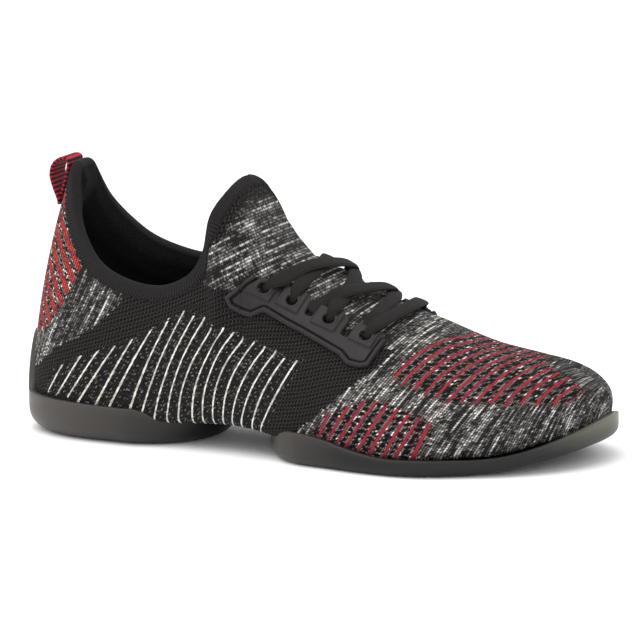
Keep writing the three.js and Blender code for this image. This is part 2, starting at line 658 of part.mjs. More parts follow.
// One bar of the lace, from the outer eyestay over the ridge to the inner one
function laceBar({ near, far, lift }) {
  const from = onStay(OUTER, rowAt(EYELETS, near));
  const to = onStay(INNER, rowAt(EYELETS, far));
  const onEyestay = 2 * GAP + EYESTAY + LACE / 2;
  const steps = [];
  for (let k = 0; k <= LACE_STEPS; k++) {
    const t = k / LACE_STEPS;
    const arch = Math.sin(Math.PI * t);
    const x = mix(from.x, to.x, t) + LACE_BOW * arch;
    const y = mix(from.y, to.y, t);
    const out = outwardAt(x, y);
    const over = mix(onEyestay, Math.max(lift, GAP + LACE / 2), smooth(0, 0.5, Math.min(t, 1 - t) * 1.6));
    steps.push({ p: knitUnder(x, y).addScaledVector(out, over), out });
  }
  for (const [k, step] of steps.entries()) {
    const along = steps[Math.min(k + 1, LACE_STEPS)].p.clone().sub(steps[Math.max(k - 1, 0)].p);
    step.across = along.cross(step.out).normalize().negate();
  }
  return band(steps, LACE_SECTION);
}

// The lace between the eyelets: its bars joined where they cross
function makeLaces() {
  const bars = BARS.map(laceBar).reduce((one, next) => one.add(next));
  const round = filledUpper(2 * GAP + EYESTAY);
  const kept = [OUTER, INNER].map((side) => {
    const points = inset(EYESTAY_OUTLINE.map((row) => stayPoint(side, row)), -GAP);
    return stayPrism(side, new THREE.Shape(points)).intersect(round);
  });
  return kept.reduce((solid, stay) => solid.subtract(stay), bars).subtract(filledUpper(GAP));
}

// The webbing loop behind the heel: both ends lie on the heel, one over the other
const LOOP_PATH = [
  { back: 0.7, up: -1.55 },
  { back: 0.94, up: -0.9 },
  { back: 1.02, up: -0.45 },
  { back: 0.88, up: -0.04 },
  { back: 0.52, up: 0.2 },
  { back: 0.2, up: 0.12 },
];
function makeLoop() {
  const clear = GAP + LOOP_TAPE / 2 + 0.1;
  const heel = GRID[0][0];
  const onHeel = (height) => pushed(heel[HEIGHTS.findIndex((h) => h >= height)], clear);
  const rim = heel.at(-1).p;
  const free = LOOP_PATH.map(
    ({ back, up }) => new THREE.Vector3(rim.x - back * LOOP_REACH, rim.y, rim.z + up * LOOP_REACH),
  );
  const curve = new THREE.CatmullRomCurve3([onHeel(0.865), ...free, onHeel(0.955), onHeel(0.9)]);
  const across = new THREE.Vector3(0, 1, 0);
  const steps = curve.getPoints(LOOP_STEPS).map((p, k) => {
    const along = curve.getTangent(k / LOOP_STEPS);
    return { p, out: along.cross(across).normalize(), across };
  });
  const [w, h] = [LOOP_WIDTH / 2, LOOP_TAPE / 2];
  return band(steps, [[w, -h], [w, h], [-w, h], [-w, -h]]);
}
const LOOP_STEPS = 28;

const shoe = new THREE.Group();
function addPart(name, solid, color, roughness) {
  const material = new THREE.MeshStandardMaterial({ color, roughness, metalness: 0 });
  const mesh = new THREE.Mesh(toGeometry(solid), material);
  mesh.name = name;
  shoe.add(mesh);
}
const KNIT = 0x3a3a3c;
const RUBBER = 0x35322f;
const FOAM = 0x1c1c1d;
const MOULDING = 0x2d2b2a;
const BRAID = 0x2a2827;
const WEBBING = 0xb01c34;
addPart("upper", makeUpper(), KNIT, 0.9);
addPart("heel_sole", makePad(HEEL_RING, HEEL_ROUND, heelCup), RUBBER, 0.45);
addPart("forefoot_sole", makePad(FOREFOOT_RING, FOREFOOT_ROUND, forefootCup), RUBBER, 0.45);
addPart("insole", makeInsole(), FOAM, 0.95);
addPart("eyestay_outer", makeEyestay(OUTER), MOULDING, 0.5);
addPart("eyestay_inner", makeEyestay(INNER), MOULDING, 0.5);
addPart("laces", makeLaces(), BRAID, 0.9);
addPart("pull_loop", makeLoop(), WEBBING, 0.8);

// The origin lies on the floor under the middle of the shoe
const bounds = new THREE.Box3().setFromObject(shoe);
shoe.position.set(-(bounds.min.x + bounds.max.x) / 2, -(bounds.min.y + bounds.max.y) / 2, -bounds.min.z);

export default shoe;
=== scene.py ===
# Knit dance sneaker with a split sole, right shoe. +X to the toe, +Y to the inner side, +Z up, metres.
import math

import bpy
import numpy as np
from mathutils import Matrix, Vector
from mathutils.bvhtree import BVHTree
from mathutils.geometry import delaunay_2d_cdt


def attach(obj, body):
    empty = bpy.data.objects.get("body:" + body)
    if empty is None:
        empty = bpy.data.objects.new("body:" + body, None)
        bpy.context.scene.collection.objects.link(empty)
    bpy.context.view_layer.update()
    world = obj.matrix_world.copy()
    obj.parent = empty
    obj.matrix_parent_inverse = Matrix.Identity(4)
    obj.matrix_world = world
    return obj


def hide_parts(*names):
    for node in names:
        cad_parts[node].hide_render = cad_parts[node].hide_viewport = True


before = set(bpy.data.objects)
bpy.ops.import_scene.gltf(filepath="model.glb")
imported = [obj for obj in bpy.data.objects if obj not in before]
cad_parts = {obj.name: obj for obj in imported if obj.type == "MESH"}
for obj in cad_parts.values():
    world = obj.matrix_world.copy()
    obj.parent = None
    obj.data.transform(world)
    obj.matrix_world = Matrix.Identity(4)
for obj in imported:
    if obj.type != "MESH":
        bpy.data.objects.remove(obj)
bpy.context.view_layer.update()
print("frame loaded")

mm = 0.001
heelAt = (-127.008, -0.4447)  # where the last's heel line stands in the part's frame, mm
outer, inner = -1, 1  # the two sides of the foot

photoView = {
    "azimuth": 23.87,  # degrees, from the outer side towards the toe
    "elevation": 11.29,
    "roll": -0.79,
    "distance": 1.905,
    "target": (-0.002008, -0.000445, 0.05),
    "lens": 261.0,
    "shift": (0.0178, 0.0069),
}


def makeCamera(view):
    a, e, r = (math.radians(view[k]) for k in ("azimuth", "elevation", "roll"))
    back = Vector((math.sin(a) * math.cos(e), -math.cos(a) * math.cos(e), math.sin(e)))
    right = Vector((math.cos(a), math.sin(a), 0))
    up = back.cross(right)
    rolledRight = right * math.cos(r) + up * math.sin(r)
    rolledUp = up * math.cos(r) - right * math.sin(r)
    data = bpy.data.cameras.new("photoCamera")
    data.sensor_width = 36
    data.sensor_fit = "HORIZONTAL"
    data.lens = view["lens"]
    data.shift_x, data.shift_y = view["shift"]
    camera = bpy.data.objects.new("photoCamera", data)
    turn = Matrix((rolledRight, rolledUp, back)).transposed().to_4x4()
    turn.translation = Vector(view["target"]) + back * view["distance"]
    camera.matrix_world = turn
    bpy.context.collection.objects.link(camera)
    bpy.context.scene.camera = camera


makeCamera(photoView)

# The last: ribs from the middle of the heel round either side to the middle of the toe, in shares of these
last = {
    "length": 252,
    "ballWidth": 92,
    "collarHeight": 112,
    "innerLift": 4.5,  # the collar stands higher beside the inner ankle
    "tongueHeight": 110,
    "instepHeight": 60,
    "toeHeight": 41,
    "featherRadius": 6,  # the turn under the foot
    "knitWall": 2.2,
    "rimWall": 4,
    "heelPadding": 3,
}
ribFeet = np.array([  # foot, wide, swing, belly, rise
    (0.01, 0, 0, 0.005, 0.24),
    (0.022, 0.155, 0, 0.01, 0.24),
    (0.064, 0.265, 0, 0.03, 0.24),
    (0.122, 0.32, 0, 0.035, 0.22),
    (0.196, 0.34, 0, 0.035, 0.2),
    (0.279, 0.34, -0.01, 0.035, 0.18),
    (0.345, 0.34, -0.02, 0.035, 0.18),
    (0.381, 0.35, -0.02, 0.03, 0.2),
    (0.413, 0.362, -0.02, 0.03, 0.3),
    (0.448, 0.378, -0.02, 0.02, 0.42),
    (0.492, 0.405, -0.01, 0.02, 0.38),
    (0.54, 0.43, -0.005, 0.02, 0.3),
    (0.595, 0.46, 0, 0.02, 0.24),
    (0.667, 0.492, 0, 0.02, 0.19),
    (0.746, 0.497, 0.01, 0.02, 0.15),
    (0.83, 0.437, 0.04, 0.02, 0.11),
    (0.905, 0.36, 0.08, 0.02, 0.1),
    (0.972, 0.2, 0.115, 0.02, 0.09),
    (0.998, 0, 0.13, 0.02, 0.09),
])
ribEnds = np.array([  # top, rim, sway, collar, tongue, instep, toe, fore, side, drop
    (0.085, 0, 0, 1, 0, 0, 0, -0.043, 0, 0.27),
    (0.09, 0.1, 0, 0.98, 0, 0, 0, -0.04, 0.02, 0.26),
    (0.112, 0.195, 0, 0.81, 0, 0, 0, -0.025, 0.05, 0.24),
    (0.155, 0.265, 0, 0.68, 0, 0, 0, -0.01, 0.06, 0.22),
    (0.21, 0.3, 0, 0.615, 0, 0, 0, 0, 0.06, 0.2),
    (0.278, 0.305, 0, 0.592, 0, 0, 0, 0, 0.06, 0.18),
    (0.334, 0.31, 0, 0.645, 0, 0, 0, 0, 0.05, 0.18),
    (0.362, 0.31, 0, 0.4, 0.35, 0, 0, 0.005, 0.04, 0.2),
    (0.378, 0.29, 0, 0.08, 0.83, 0, 0, 0.012, 0.13, 0.12),
    (0.391, 0, 0, 0, 1, 0, 0, 0.02, 0.27, 0.02),
    (0.42, 0, 0, 0, 0.76, 0.2, 0, 0.02, 0.3, 0.01),
    (0.464, 0, 0.005, 0, 0.38, 0.655, 0, 0.02, 0.3, 0),
    (0.524, 0, 0.01, 0, 0.15, 0.965, 0, 0.02, 0.3, 0),
    (0.603, 0, 0.02, 0, 0, 1.07, 0, 0.02, 0.3, 0),
    (0.69, 0, 0.035, 0, 0, 0.66, 0.41, 0.02, 0.3, 0),
    (0.782, 0, 0.06, 0, 0, 0.23, 0.83, 0.02, 0.27, 0),
    (0.857, 0, 0.09, 0, 0, 0.04, 1, 0.03, 0.22, 0),
    (0.913, 0, 0.12, 0, 0, 0, 0.99, 0.045, 0.13, 0),
    (0.944, 0, 0.13, 0, 0, 0, 0.91, 0.045, 0, 0),
])
bedRows = np.array([(0, 10), (0.25, 10), (0.42, 12), (0.58, 7), (0.72, 5.5), (0.84, 7), (1, 14)])
tongueRib, toeRib = 9, 18  # where the collar's rim ends, and the toe
turnFrom, wallFrom = 0.16, 0.28  # where on a rib the turn at the sole's edge and the wall begin


def smooth(low, high, value):
    t = np.clip((value - low) / (high - low), 0, 1)
    return t * t * (3 - 2 * t)


def mix(a, b, t):
    return a + (b - a) * t


def rowAt(table, place):
    place = np.asarray(place, float)
    i = np.clip(np.floor(place), 0, len(table) - 2).astype(int)
    t = (place - i)[..., None]
    a, b, c, d = (table[np.clip(i + k, 0, len(table) - 1)] for k in (-1, 0, 1, 2))
    bend = (2 * a - 5 * b + 4 * c - d) * t**2 + (3 * b - a - 3 * c + d) * t**3
    return 0.5 * (2 * b + (c - a) * t + bend)


# The same for a table of ribs: past the heel and the toe, the other side's ribs follow
def ribAt(table, place):
    turned = np.ones(table.shape[1])
    turned[1] = -1
    return rowAt(np.concatenate([table[1:2] * turned, table, table[-2:-1] * turned]), np.asarray(place) + 1)


def bedAt(x):
    at = np.clip(x / last["length"], 0, 1)
    i = np.clip(np.searchsorted(bedRows[:, 0], at) - 1, 0, len(bedRows) - 2)
    return mix(bedRows[i, 1], bedRows[i + 1, 1], smooth(bedRows[i, 0], bedRows[i + 1, 0], at))


def place3(x, y, z):
    return np.stack(np.broadcast_arrays(x, y, z), -1).astype(float)


def unit(v):
    return v / np.maximum(np.linalg.norm(v, axis=-1, keepdims=True), 1e-9)


def ribLine(side, station):
    foot, wide, swing, belly, rise = np.moveaxis(ribAt(ribFeet, station), -1, 0)
    ends = np.moveaxis(ribAt(ribEnds, station), -1, 0)
    top, rim, sway, collar, tongue, instep, toe, fore, inward, drop = ends
    length, width = last["length"], last["ballWidth"]
    spine = swing * width
    footPoint = place3(foot * length, spine + side * wide * width, bedAt(foot * length))
    middleX = mix(0.11, 0.88, foot) * length
    middle = place3(middleX, spine, bedAt(middleX))
    z = collar * last["collarHeight"] + tongue * last["tongueHeight"]
    z = z + instep * last["instepHeight"] + toe * last["toeHeight"]
    z = z + (side > 0) * last["innerLift"] * smooth(0.5, 3, station) * smooth(-8.5, -6, -station)
    rim = np.where(station >= tongueRib, 0, rim)
    end = place3(top * length, (sway + side * rim) * width, z)
    out = footPoint - middle
    out[..., 2] = 0
    return footPoint, middle, end, unit(out), belly, rise, fore, inward, drop


def knitPoint(side, station, height):
    station, height = np.broadcast_arrays(np.asarray(station, float), np.asarray(height, float))
    foot, middle, end, out, belly, rise, fore, inward, drop = ribLine(side, station)
    length, width, turnRadius = last["length"], last["ballWidth"], last["featherRadius"]
    reach = np.linalg.norm(middle - foot, axis=-1)
    under = mix(foot, middle, (turnRadius / reach)[..., None])
    over = foot + place3(0, 0, turnRadius)
    h = height[..., None]
    flat = mix(middle, under, h / turnFrom)
    t = (h - turnFrom) / (wallFrom - turnFrom)
    turn = under * (1 - t) ** 2 + 2 * foot * t * (1 - t) + over * t**2
    low = over + out * (belly * width)[..., None]
    low[..., 2] += rise * last["collarHeight"]
    before = ribLine(inner, np.maximum(tongueRib, station - 0.5))[2]
    after = ribLine(inner, np.minimum(toeRib, station + 0.5))[2]
    slope = (before[..., 2] - after[..., 2]) / np.maximum(after[..., 0] - before[..., 0], 1e-3)
    fall = np.where(station < tongueRib, drop * last["tongueHeight"], slope * fore * length)
    high = end + place3(fore * length, side * inward * width, -fall)
    t = (h - wallFrom) / (1 - wallFrom)
    wall = over * (1 - t) ** 3 + 3 * low * t * (1 - t) ** 2 + 3 * high * t**2 * (1 - t) + end * t**3
    return np.where(h < turnFrom, flat, np.where(h < wallFrom, turn, wall))


# How many steps along the shoe, and up a rib in each of its stretches
knitFineness = {"stations": 300, "under": 5, "turn": 8, "wall": 84, "lining": 26, "rim": 9}


def wallAt(station, height):
    padded = smooth(-5, -2.5, -station) * smooth(0.5, 0.8, height) * smooth(-1.02, -0.9, -height)
    rim = smooth(0.9, 0.96, height) * smooth(-tongueRib - 2, -tongueRib, -station)
    rimExtra = last["rimWall"] - last["knitWall"]
    return last["knitWall"] + last["heelPadding"] * padded + rimExtra * rim


def toFrame(points):
    return (np.asarray(points) + (heelAt[0], heelAt[1], 0)) * mm


def makeMesh(name, points, faces, flatShade=False):
    mesh = bpy.data.meshes.new(name)
    mesh.from_pydata([tuple(p) for p in points], [], [tuple(int(i) for i in face) for face in faces])
    mesh.validate()
    mesh.polygons.foreach_set("use_smooth", [not flatShade] * len(mesh.polygons))
    piece = bpy.data.objects.new(name, mesh)
    bpy.context.collection.objects.link(piece)
    return piece


def addValues(piece, name, values):
    layer = piece.data.attributes.new(name, "FLOAT", "POINT")
    layer.data.foreach_set("value", values.astype(np.float32))


def dress(piece, slotName, nodes, *materials):
    for material in materials:
        piece.data.materials.append(material)
    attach(piece, "root")
    if nodes:
        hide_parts(*nodes)


def circle(count):
    angle = np.linspace(0, math.tau, count, endpoint=False)
    return np.stack([np.cos(angle), np.sin(angle)], -1)


def normalsOf(grid):
    return unit(np.cross(np.gradient(grid, axis=0), np.gradient(grid, axis=1)))


# Soft troughs and ridges in the knit: station, height, half sizes in stations and height, depth in mm, lean
knitCreases = [
    (8.2, 0.60, 0.5, 0.16, 0.7, 0.2),  # beside the tongue's foot
    (7.2, 0.78, 0.4, 0.10, 0.5, -0.3),
    (9.4, 0.80, 0.35, 0.12, 0.6, 0.2),
    (13.1, 0.90, 0.22, 0.16, 0.7, 0.0),  # where the toes bend
    (13.8, 0.86, 0.18, 0.14, 0.5, 0.1),
    (14.3, 0.72, 0.20, 0.12, 0.35, 0.2),
    (3.4, 0.62, 0.8, 0.08, 0.4, 0.4),  # under the ankle
    (5.4, 0.46, 0.9, 0.07, 0.4, 0.3),
    (10.6, 0.38, 0.8, 0.08, 0.45, 0.4),
]


def creaseAt(station, height, side):
    depth = np.zeros(np.shape(station))
    for at, up, wide, tall, deep, lean in knitCreases:
        d = (station - at - lean * (height - up) / tall * wide) / wide
        e = (height - up) / tall
        depth += deep * np.exp(-(d**2) * 2 - e**2 * 1.5) * (1 if side < 0 else 0.7)
    return depth


# How far each point is from the collar's rim, and where along the rim its nearest point lies
def rimChart(side, points):
    stations = np.linspace(0, tongueRib, 400)
    rim = knitPoint(side, stations, 1.0)
    along = lengthsAlong(rim)
    flat = points.reshape(-1, 3)
    distance, place = np.zeros(len(flat)), np.zeros(len(flat))
    for start in range(0, len(flat), 4000):
        part = slice(start, start + 4000)
        gaps = ((flat[part, None] - rim[None]) ** 2).sum(-1)
        nearest = gaps.argmin(1)
        distance[part] = np.sqrt(gaps[np.arange(len(gaps)), nearest])
        a, b = rim[np.maximum(nearest - 1, 0)], rim[np.minimum(nearest + 1, len(rim) - 1)]
        ahead = ((flat[part] - rim[nearest]) * unit(b - a)).sum(1)
        place[part] = along[nearest] + ahead
    return distance.reshape(points.shape[:-1]), place.reshape(points.shape[:-1])


def knitSide(side, fineness):
    stations = np.linspace(0, toeRib, fineness["stations"] + 1)
    heights = np.concatenate([
        np.linspace(0, turnFrom, fineness["under"], endpoint=False),
        np.linspace(turnFrom, wallFrom, fineness["turn"], endpoint=False),
        np.linspace(wallFrom, 1, fineness["wall"] + 1),
    ])
    s, h = np.meshgrid(stations, heights, indexing="ij")
    return s, h, knitPoint(side, s, h)


def quadsOf(index, turned):
    a, b, c, d = index[:-1, :-1], index[1:, :-1], index[1:, 1:], index[:-1, 1:]
    quads = np.stack([a, b, c, d], -1).reshape(-1, 4)
    return quads if turned else quads[:, ::-1]


def lengthsAlong(line):
    return np.concatenate([[0], np.cumsum(np.linalg.norm(np.diff(line, axis=0), axis=1))])


toePole = (0.45, 0.0, 0.89)  # the way the knit faces where its ribs meet over the toe


# The knit's outside, its rolled rim and its lining as one closed shell, with charts for the knitted pattern
def makeUpperShell():
    points, charts, faces, slots = [], [], [], []

    def keep(grid, chart):
        index = np.arange(grid[..., 0].size).reshape(grid.shape[:2]) + sum(len(p) for p in points)
        points.append(grid.reshape(-1, 3))
        charts.append(chart.reshape(index.size, -1))
        return index

    def cover(index, turned, slotIndex):
        faces.append(quadsOf(index, turned))
        slots.append(np.full(len(faces[-1]), slotIndex))

    for side in (outer, inner):
        s, h, grid = knitSide(side, knitFineness)
        # on the ridge, the heel line and the toe the knit faces the same way on both sides of the shoe
        n = normalsOf(grid) * -side
        n[0], n[-1] = unit(n[0] * (1, 0, 1)), unit(n[-1] * (1, 0, 1))
        ridge = s[:, -1] >= tongueRib
        n[ridge, -1] = unit(n[ridge, -1] * (1, 0, 1))
        n[:, 0] = unit(n[:, 0] * (0, 0, 1))
        pole = smooth(17.1, 17.8, s) * smooth(0.8, 0.95, h)
        n = unit(mix(n, np.array(toePole), pole[..., None]))

        rimDistance, rimAlong = rimChart(side, grid)
        arc = np.linalg.norm(np.diff(grid, axis=1), axis=2).cumsum(1)
        arc = np.concatenate([np.zeros((len(s), 1)), arc], 1)
        edge = knitFineness["under"] + knitFineness["turn"] // 2
        arc = arc - arc[:, edge:edge + 1]
        chart = chartOf(s, grid, arc, rimDistance, rimAlong)

        foot = collarBand["width"]
        band = smooth(foot + 0.5, foot - 0.5, rimDistance)
        fade = smooth(0.2, 0.32, h) * smooth(0.0, 0.4, s) * smooth(-18, -17.5, -s)
        relief = collarBand["proud"] * band - creaseAt(s, h, side) * fade * (1 - band)
        relief -= collarBand["groove"] * np.exp(-(((rimDistance - foot) / 0.7) ** 2))
        skin = grid + n * relief[..., None]
        roll = smooth(1, 5, rimDistance) * smooth(-19, -13, -rimDistance) * smooth(-8, -7, -s)
        inside = grid - n * (wallAt(s, h) + collarBand["padding"] * roll)[..., None]
        knitIndex = keep(skin, chart)
        cover(knitIndex, side < 0, 0)

        # the rolled rim
        isOpen = s[:, -1] <= tongueRib + 1e-6
        a, b = skin[isOpen, -1][:, None], inside[isOpen, -1][:, None]
        up = unit(grid[isOpen, -1] - grid[isOpen, -3])[:, None]
        angle = np.linspace(0, math.pi, knitFineness["rim"] + 1)[1:-1, None]
        rim = (a + b) / 2 + (a - b) / 2 * np.cos(angle) + up * collarBand["roll"] * np.sin(angle)
        rimIndex = keep(rim, np.repeat(chart[isOpen, -1][:, None], len(angle), 1))

        # the lining
        pick = np.unique(np.linspace(0, s.shape[1] - 1, knitFineness["lining"]).astype(int))
        liningIndex = keep(inside[:, pick], chart[:, pick])
        cover(np.concatenate([knitIndex[isOpen, -1:], rimIndex, liningIndex[isOpen, -1:]], 1), side < 0, 1)
        cover(liningIndex, side > 0, 2)
    return weld(*(np.concatenate(part) for part in (points, faces, slots, charts)))


def weld(points, faces, slots, chart):
    cells = np.round(points * 200).astype(np.int64)  # points closer than 0.005 mm become one
    _, first, back = np.unique(cells, axis=0, return_index=True, return_inverse=True)
    faces = back.reshape(-1)[faces]
    kept, keptSlots = [], []
    for face, slotIndex in zip(faces, slots):
        ring = [int(v) for k, v in enumerate(face) if v != face[k - 1]]
        if len(set(ring)) >= 3:
            kept.append(list(dict.fromkeys(ring)))
            keptSlots.append(int(slotIndex))
    return points[first], kept, keptSlots, chart[first]


collarBand = {
    "width": 5.0,
    "proud": 0.5,  # how far it stands off the knit
    "groove": 0.35,
    "roll": 1.5,  # how high its rim is rounded
    "rib": 1.2,
    "binding": 1.8,  # the plain strip along the rim
    "padding": 2.4,
}

# The knitted pattern's charts. Every line and border is in mm on the last.
# White lines over the waist: x and z at the foot and at the tip of each, and how far it bows to the heel
whiteLines = [
    (18.8, 21, 25.5, 30.6, 0), (24.2, 20.6, 35.2, 35.4, 0), (29.7, 20, 43.4, 38.3, 0),
    (34.9, 18.7, 51.9, 41.5, 0), (42.4, 17, 60.1, 45.1, 0), (48.3, 16, 68.2, 48.9, 0),
    (57.1, 13, 75.9, 53.4, 0.5), (62.6, 12, 83, 57.5, 1), (68.4, 10, 87.9, 56.4, 2), (74.5, 10, 93, 56, 3),
    (80, 10, 97.3, 52.7, 3.8), (87, 10, 102.9, 52.5, 4.5), (92, 10, 107.2, 51.4, 4.8),
    (97, 10, 111.1, 48.6, 4.8), (101.5, 10, 116.6, 48.4, 4.4), (105.5, 10, 121, 45.8, 3.8),
    (109.5, 10, 126, 44.6, 3.2), (114.5, 10, 130.1, 42.6, 2.4), (118, 10, 135.5, 41.7, 1),
]
heelLines = {"lean": 0.72, "start": 47.6, "pitch": 6.05}  # orange lines behind the ankle
# Red lines low on the forefoot's side
ballLines = [
    (146, 10, 151.2, 21.6), (150, 10, 160.5, 25.8), (155, 10, 167.4, 28.6), (159.5, 10, 172.1, 28.9),
    (166, 10, 177.2, 28.1), (171.5, 10, 181.5, 26.5), (178, 10, 186.4, 24.7), (183, 10, 190.8, 23.4),
    (190, 10, 194.9, 20.8),
]
# Red lines over the toes: x and y at the outer end of each
toeLines = [
    (178.4, -34.4), (182.4, -34.7), (187.4, -34.3), (191.6, -34.2), (195.7, -33.5), (200.9, -32.2),
    (205.5, -29.5), (210.7, -27.6), (216.2, -25.1), (221.8, -23.3), (227, -20.3), (232.5, -17.2),
    (238.3, -13), (243.3, -8),
]
toeCrest = np.array([(212, 60), (224, 14), (229, 2), (234, -0.5), (244, -1)])  # x, y where the lines end
borders = {  # x and z of the zones' borders
    "heel": [(0, 38), (15.2, 45), (24.4, 54.5), (32.5, 70), (40, 84)],
    "grey": [(9, 28), (25, 39.7), (40, 47.5), (53, 58.6), (60, 66)],
    "stay": [(83, 70), (91, 69.5), (98, 70.5), (104, 69)],
    "mesh": [(138, 15), (154.6, 28.7), (164, 37), (172, 43.6), (176, 50.6), (178, 70)],
}
courseSlant = 0.8  # how far the rows lean to the heel on their way up
zoneSoft = 0.25  # half the width of a zone's border
toeLineLean = 0.42  # how fast a line runs forward on its way to the ridge
toeLineCrest = 14  # how far from the crest it starts to bend over


def leastOf(*distances):
    return np.minimum.reduce(np.broadcast_arrays(*distances))


def above(border, x, z):
    return z - np.interp(x, *np.transpose(borders[border]))


# Which of the lines a place lies by, and how far inside the lines' zone it is
def linesChart(lines, x, z, below, pitch):
    rows = np.array(lines, float)
    t = (z[..., None] - rows[:, 1]) / (rows[:, 3] - rows[:, 1])
    at = rows[:, 0] + (rows[:, 2] - rows[:, 0]) * t
    if rows.shape[1] > 4:
        at = at - rows[:, 4] * 4 * np.clip(t, -0.2, 1) * (1 - np.clip(t, -0.2, 1))
    at = np.sort(at, axis=-1)
    before = (x[..., None] >= at).sum(-1)
    low = np.clip(before - 1, 0, len(rows) - 2)
    a = np.take_along_axis(at, low[..., None], -1)[..., 0]
    b = np.take_along_axis(at, low[..., None] + 1, -1)[..., 0]
    number = low + np.clip((x - a) / np.maximum(b - a, 0.5), -3, 4)
    top = np.interp(number, np.arange(len(rows)), rows[:, 3])
    bottom = np.interp(number, np.arange(len(rows)), rows[:, 1])
    ends = (number + 0.45) * pitch, (len(rows) - 0.55 - number) * pitch
    return number, leastOf(top - z + 1, z - bottom + below, *ends)


def leanAt(x, y):
    off = np.abs(y - np.interp(x, [150, 200, 252], [10, 13, 16]))
    crest = toeLineCrest
    return toeLineLean * np.where(off < crest, off**2 / (2 * crest) + crest / 2, off)


away = -20  # a zone's distance where it has no part
lastRib = {"heel": 4.5, "grey": 5.5, "white": 12.5}  # a zone has no part past these
firstRib = {"throat": 5.8, "ball": 10.5}  # or before these
tongueRise = (0.486, 0.874)  # rows over the tongue rise straight to the toe, seen from the side


# The charts in chartNames; a zone's own is its distance to the border, above zero inside
def chartOf(s, grid, arc, rimDistance, rimAlong):
    x, y, z = np.moveaxis(grid, -1, 0)
    reach = np.where(s >= tongueRib, np.maximum(arc[:, -1:], 40), 85)
    step = np.diff(grid[..., :2], axis=0)
    rounding = 1 - smooth(3, 4.5, s[1:]) + smooth(14.5, 16, s[1:])  # rows go on round both ends
    turned = np.cumsum((np.linalg.norm(step, axis=2) - step[..., 0]) * rounding, axis=0)
    turned = np.concatenate([np.zeros((1, s.shape[1])), turned])
    course = x + turned - courseSlant * (arc - arc**2 / (2 * reach))
    tongueCourse = tongueRise[1] * z - tongueRise[0] * x
    tongueWale = 0.83 * (tongueRise[1] * x + tongueRise[0] * z - np.abs(y))

    white, whiteIn = linesChart(whiteLines, x, z, below=2, pitch=5)
    ball, ballIn = linesChart(ballLines, x, z, below=3, pitch=4.5)
    heel = (x + heelLines["lean"] * z - heelLines["start"]) / heelLines["pitch"]
    heelIn = leastOf(above("heel", x, z), 40 - x)

    toeRows = np.array(toeLines)
    toeAt = toeRows[:, 0] + leanAt(*toeRows.T)
    toe = np.interp(x + leanAt(x, y), [toeAt[0] - 4.6, *toeAt], np.arange(-1, len(toeAt)), left=-3, right=20)
    outerEnd = np.interp(toe, np.arange(len(toeRows)), -toeRows[:, 1])
    end = len(toeLines) - 0.6
    toeIn = leastOf(
        outerEnd + 1.5 - np.abs(y), (toe + 0.4) * 5, (end - toe) * 5, np.interp(x, *toeCrest.T) - y,
    )

    meshEnd = np.array(borders["mesh"])
    front = (x - np.interp(z, meshEnd[:, 1], meshEnd[:, 0])) * 0.72
    front = np.where(z > 45, np.maximum(front, leastOf(26 - np.abs(y), x - 141)), front)
    aboveStay = leastOf(above("stay", x, z), 118 - x + (z - 70) * 1.5)
    fromBand = rimDistance - collarBand["width"] - np.interp(z, [85, 105], [1.5, 5])
    throat = leastOf(np.maximum(24 - np.abs(y), aboveStay), fromBand)
    throat = np.minimum(np.where((s > firstRib["throat"]) & (z > 45), throat, away), 152 - x)
    grey = leastOf(above("grey", x, z), 60 - x)
    return np.stack([
        course, arc, tongueCourse, tongueWale, rimDistance, rimAlong, y,
        white, np.where(s < lastRib["white"], whiteIn, away),
        heel, np.where(s < lastRib["heel"], heelIn, away),
        ball, np.where(s > firstRib["ball"], ballIn, away),
        toe, np.where(z > 24, toeIn, away),
        front, throat, np.where(s < lastRib["grey"], grey, away),
    ], -1)


chartNames = [
    "course", "wale", "tongueCourse", "tongueWale", "rimDistance", "rimAlong", "sideways",
    "whiteLine", "whiteIn", "heelLine", "heelIn", "ballLine", "ballIn", "toeLine", "toeIn",
    "frontIn", "throatIn", "greyIn",
]


def linear(hexColour):
    channels = [int(hexColour[i:i + 2], 16) / 255 for i in (1, 3, 5)]
    return tuple(c / 12.92 if c <= 0.04045 else ((c + 0.055) / 1.055) ** 2.4 for c in channels) + (1.0,)


# One node: values go to its sockets in order, sockets by name, and settings to the node itself
def add(tree, kind, *values, out=0, sockets=None, **settings):
    made = tree.nodes.new(kind if "Node" in kind else "ShaderNode" + kind)
    for name, value in settings.items():
        setattr(made, name, value)
    for socket, value in [*enumerate(values), *(sockets or {}).items()]:
        if isinstance(value, Wire):
            tree.links.new(value.socket, made.inputs[socket])
        elif value is not None:
            made.inputs[socket].default_value = value
    return Wire(tree, made.outputs[out])


# What comes out of a node, so that sums on it read as sums
class Wire:
    def __init__(self, tree, socket):
        self.tree, self.socket = tree, socket

    def feed(self, kind, *values, **settings):
        return add(self.tree, kind, self, *values, **settings)

    def calc(self, operation, *values):
        return self.feed("Math", *values, operation=operation)

    def ramp(self, *ends):
        return self.feed("MapRange", *ends)

    def blend(self, atZero, atOne):
        return self.feed("MixRGB", atZero, atOne)

    def wave(self, pitch, operation="SINE"):
        return (self * (math.tau / pitch)).calc(operation)

    def __add__(self, other):
        return self.calc("ADD", other)

    def __sub__(self, other):
        return self.calc("SUBTRACT", other)

    def __rsub__(self, other):
        return add(self.tree, "Math", other, self, operation="SUBTRACT")

    def __mul__(self, other):
        return self.calc("MULTIPLY", other)


def newMaterial(name, **values):
    material = bpy.data.materials.new(name)
    material.use_nodes = True
    shader = material.node_tree.nodes["Principled BSDF"]
    for socket, value in values.items():
        shader.inputs[socket.replace("_", " ")].default_value = value
    return material, material.node_tree, shader


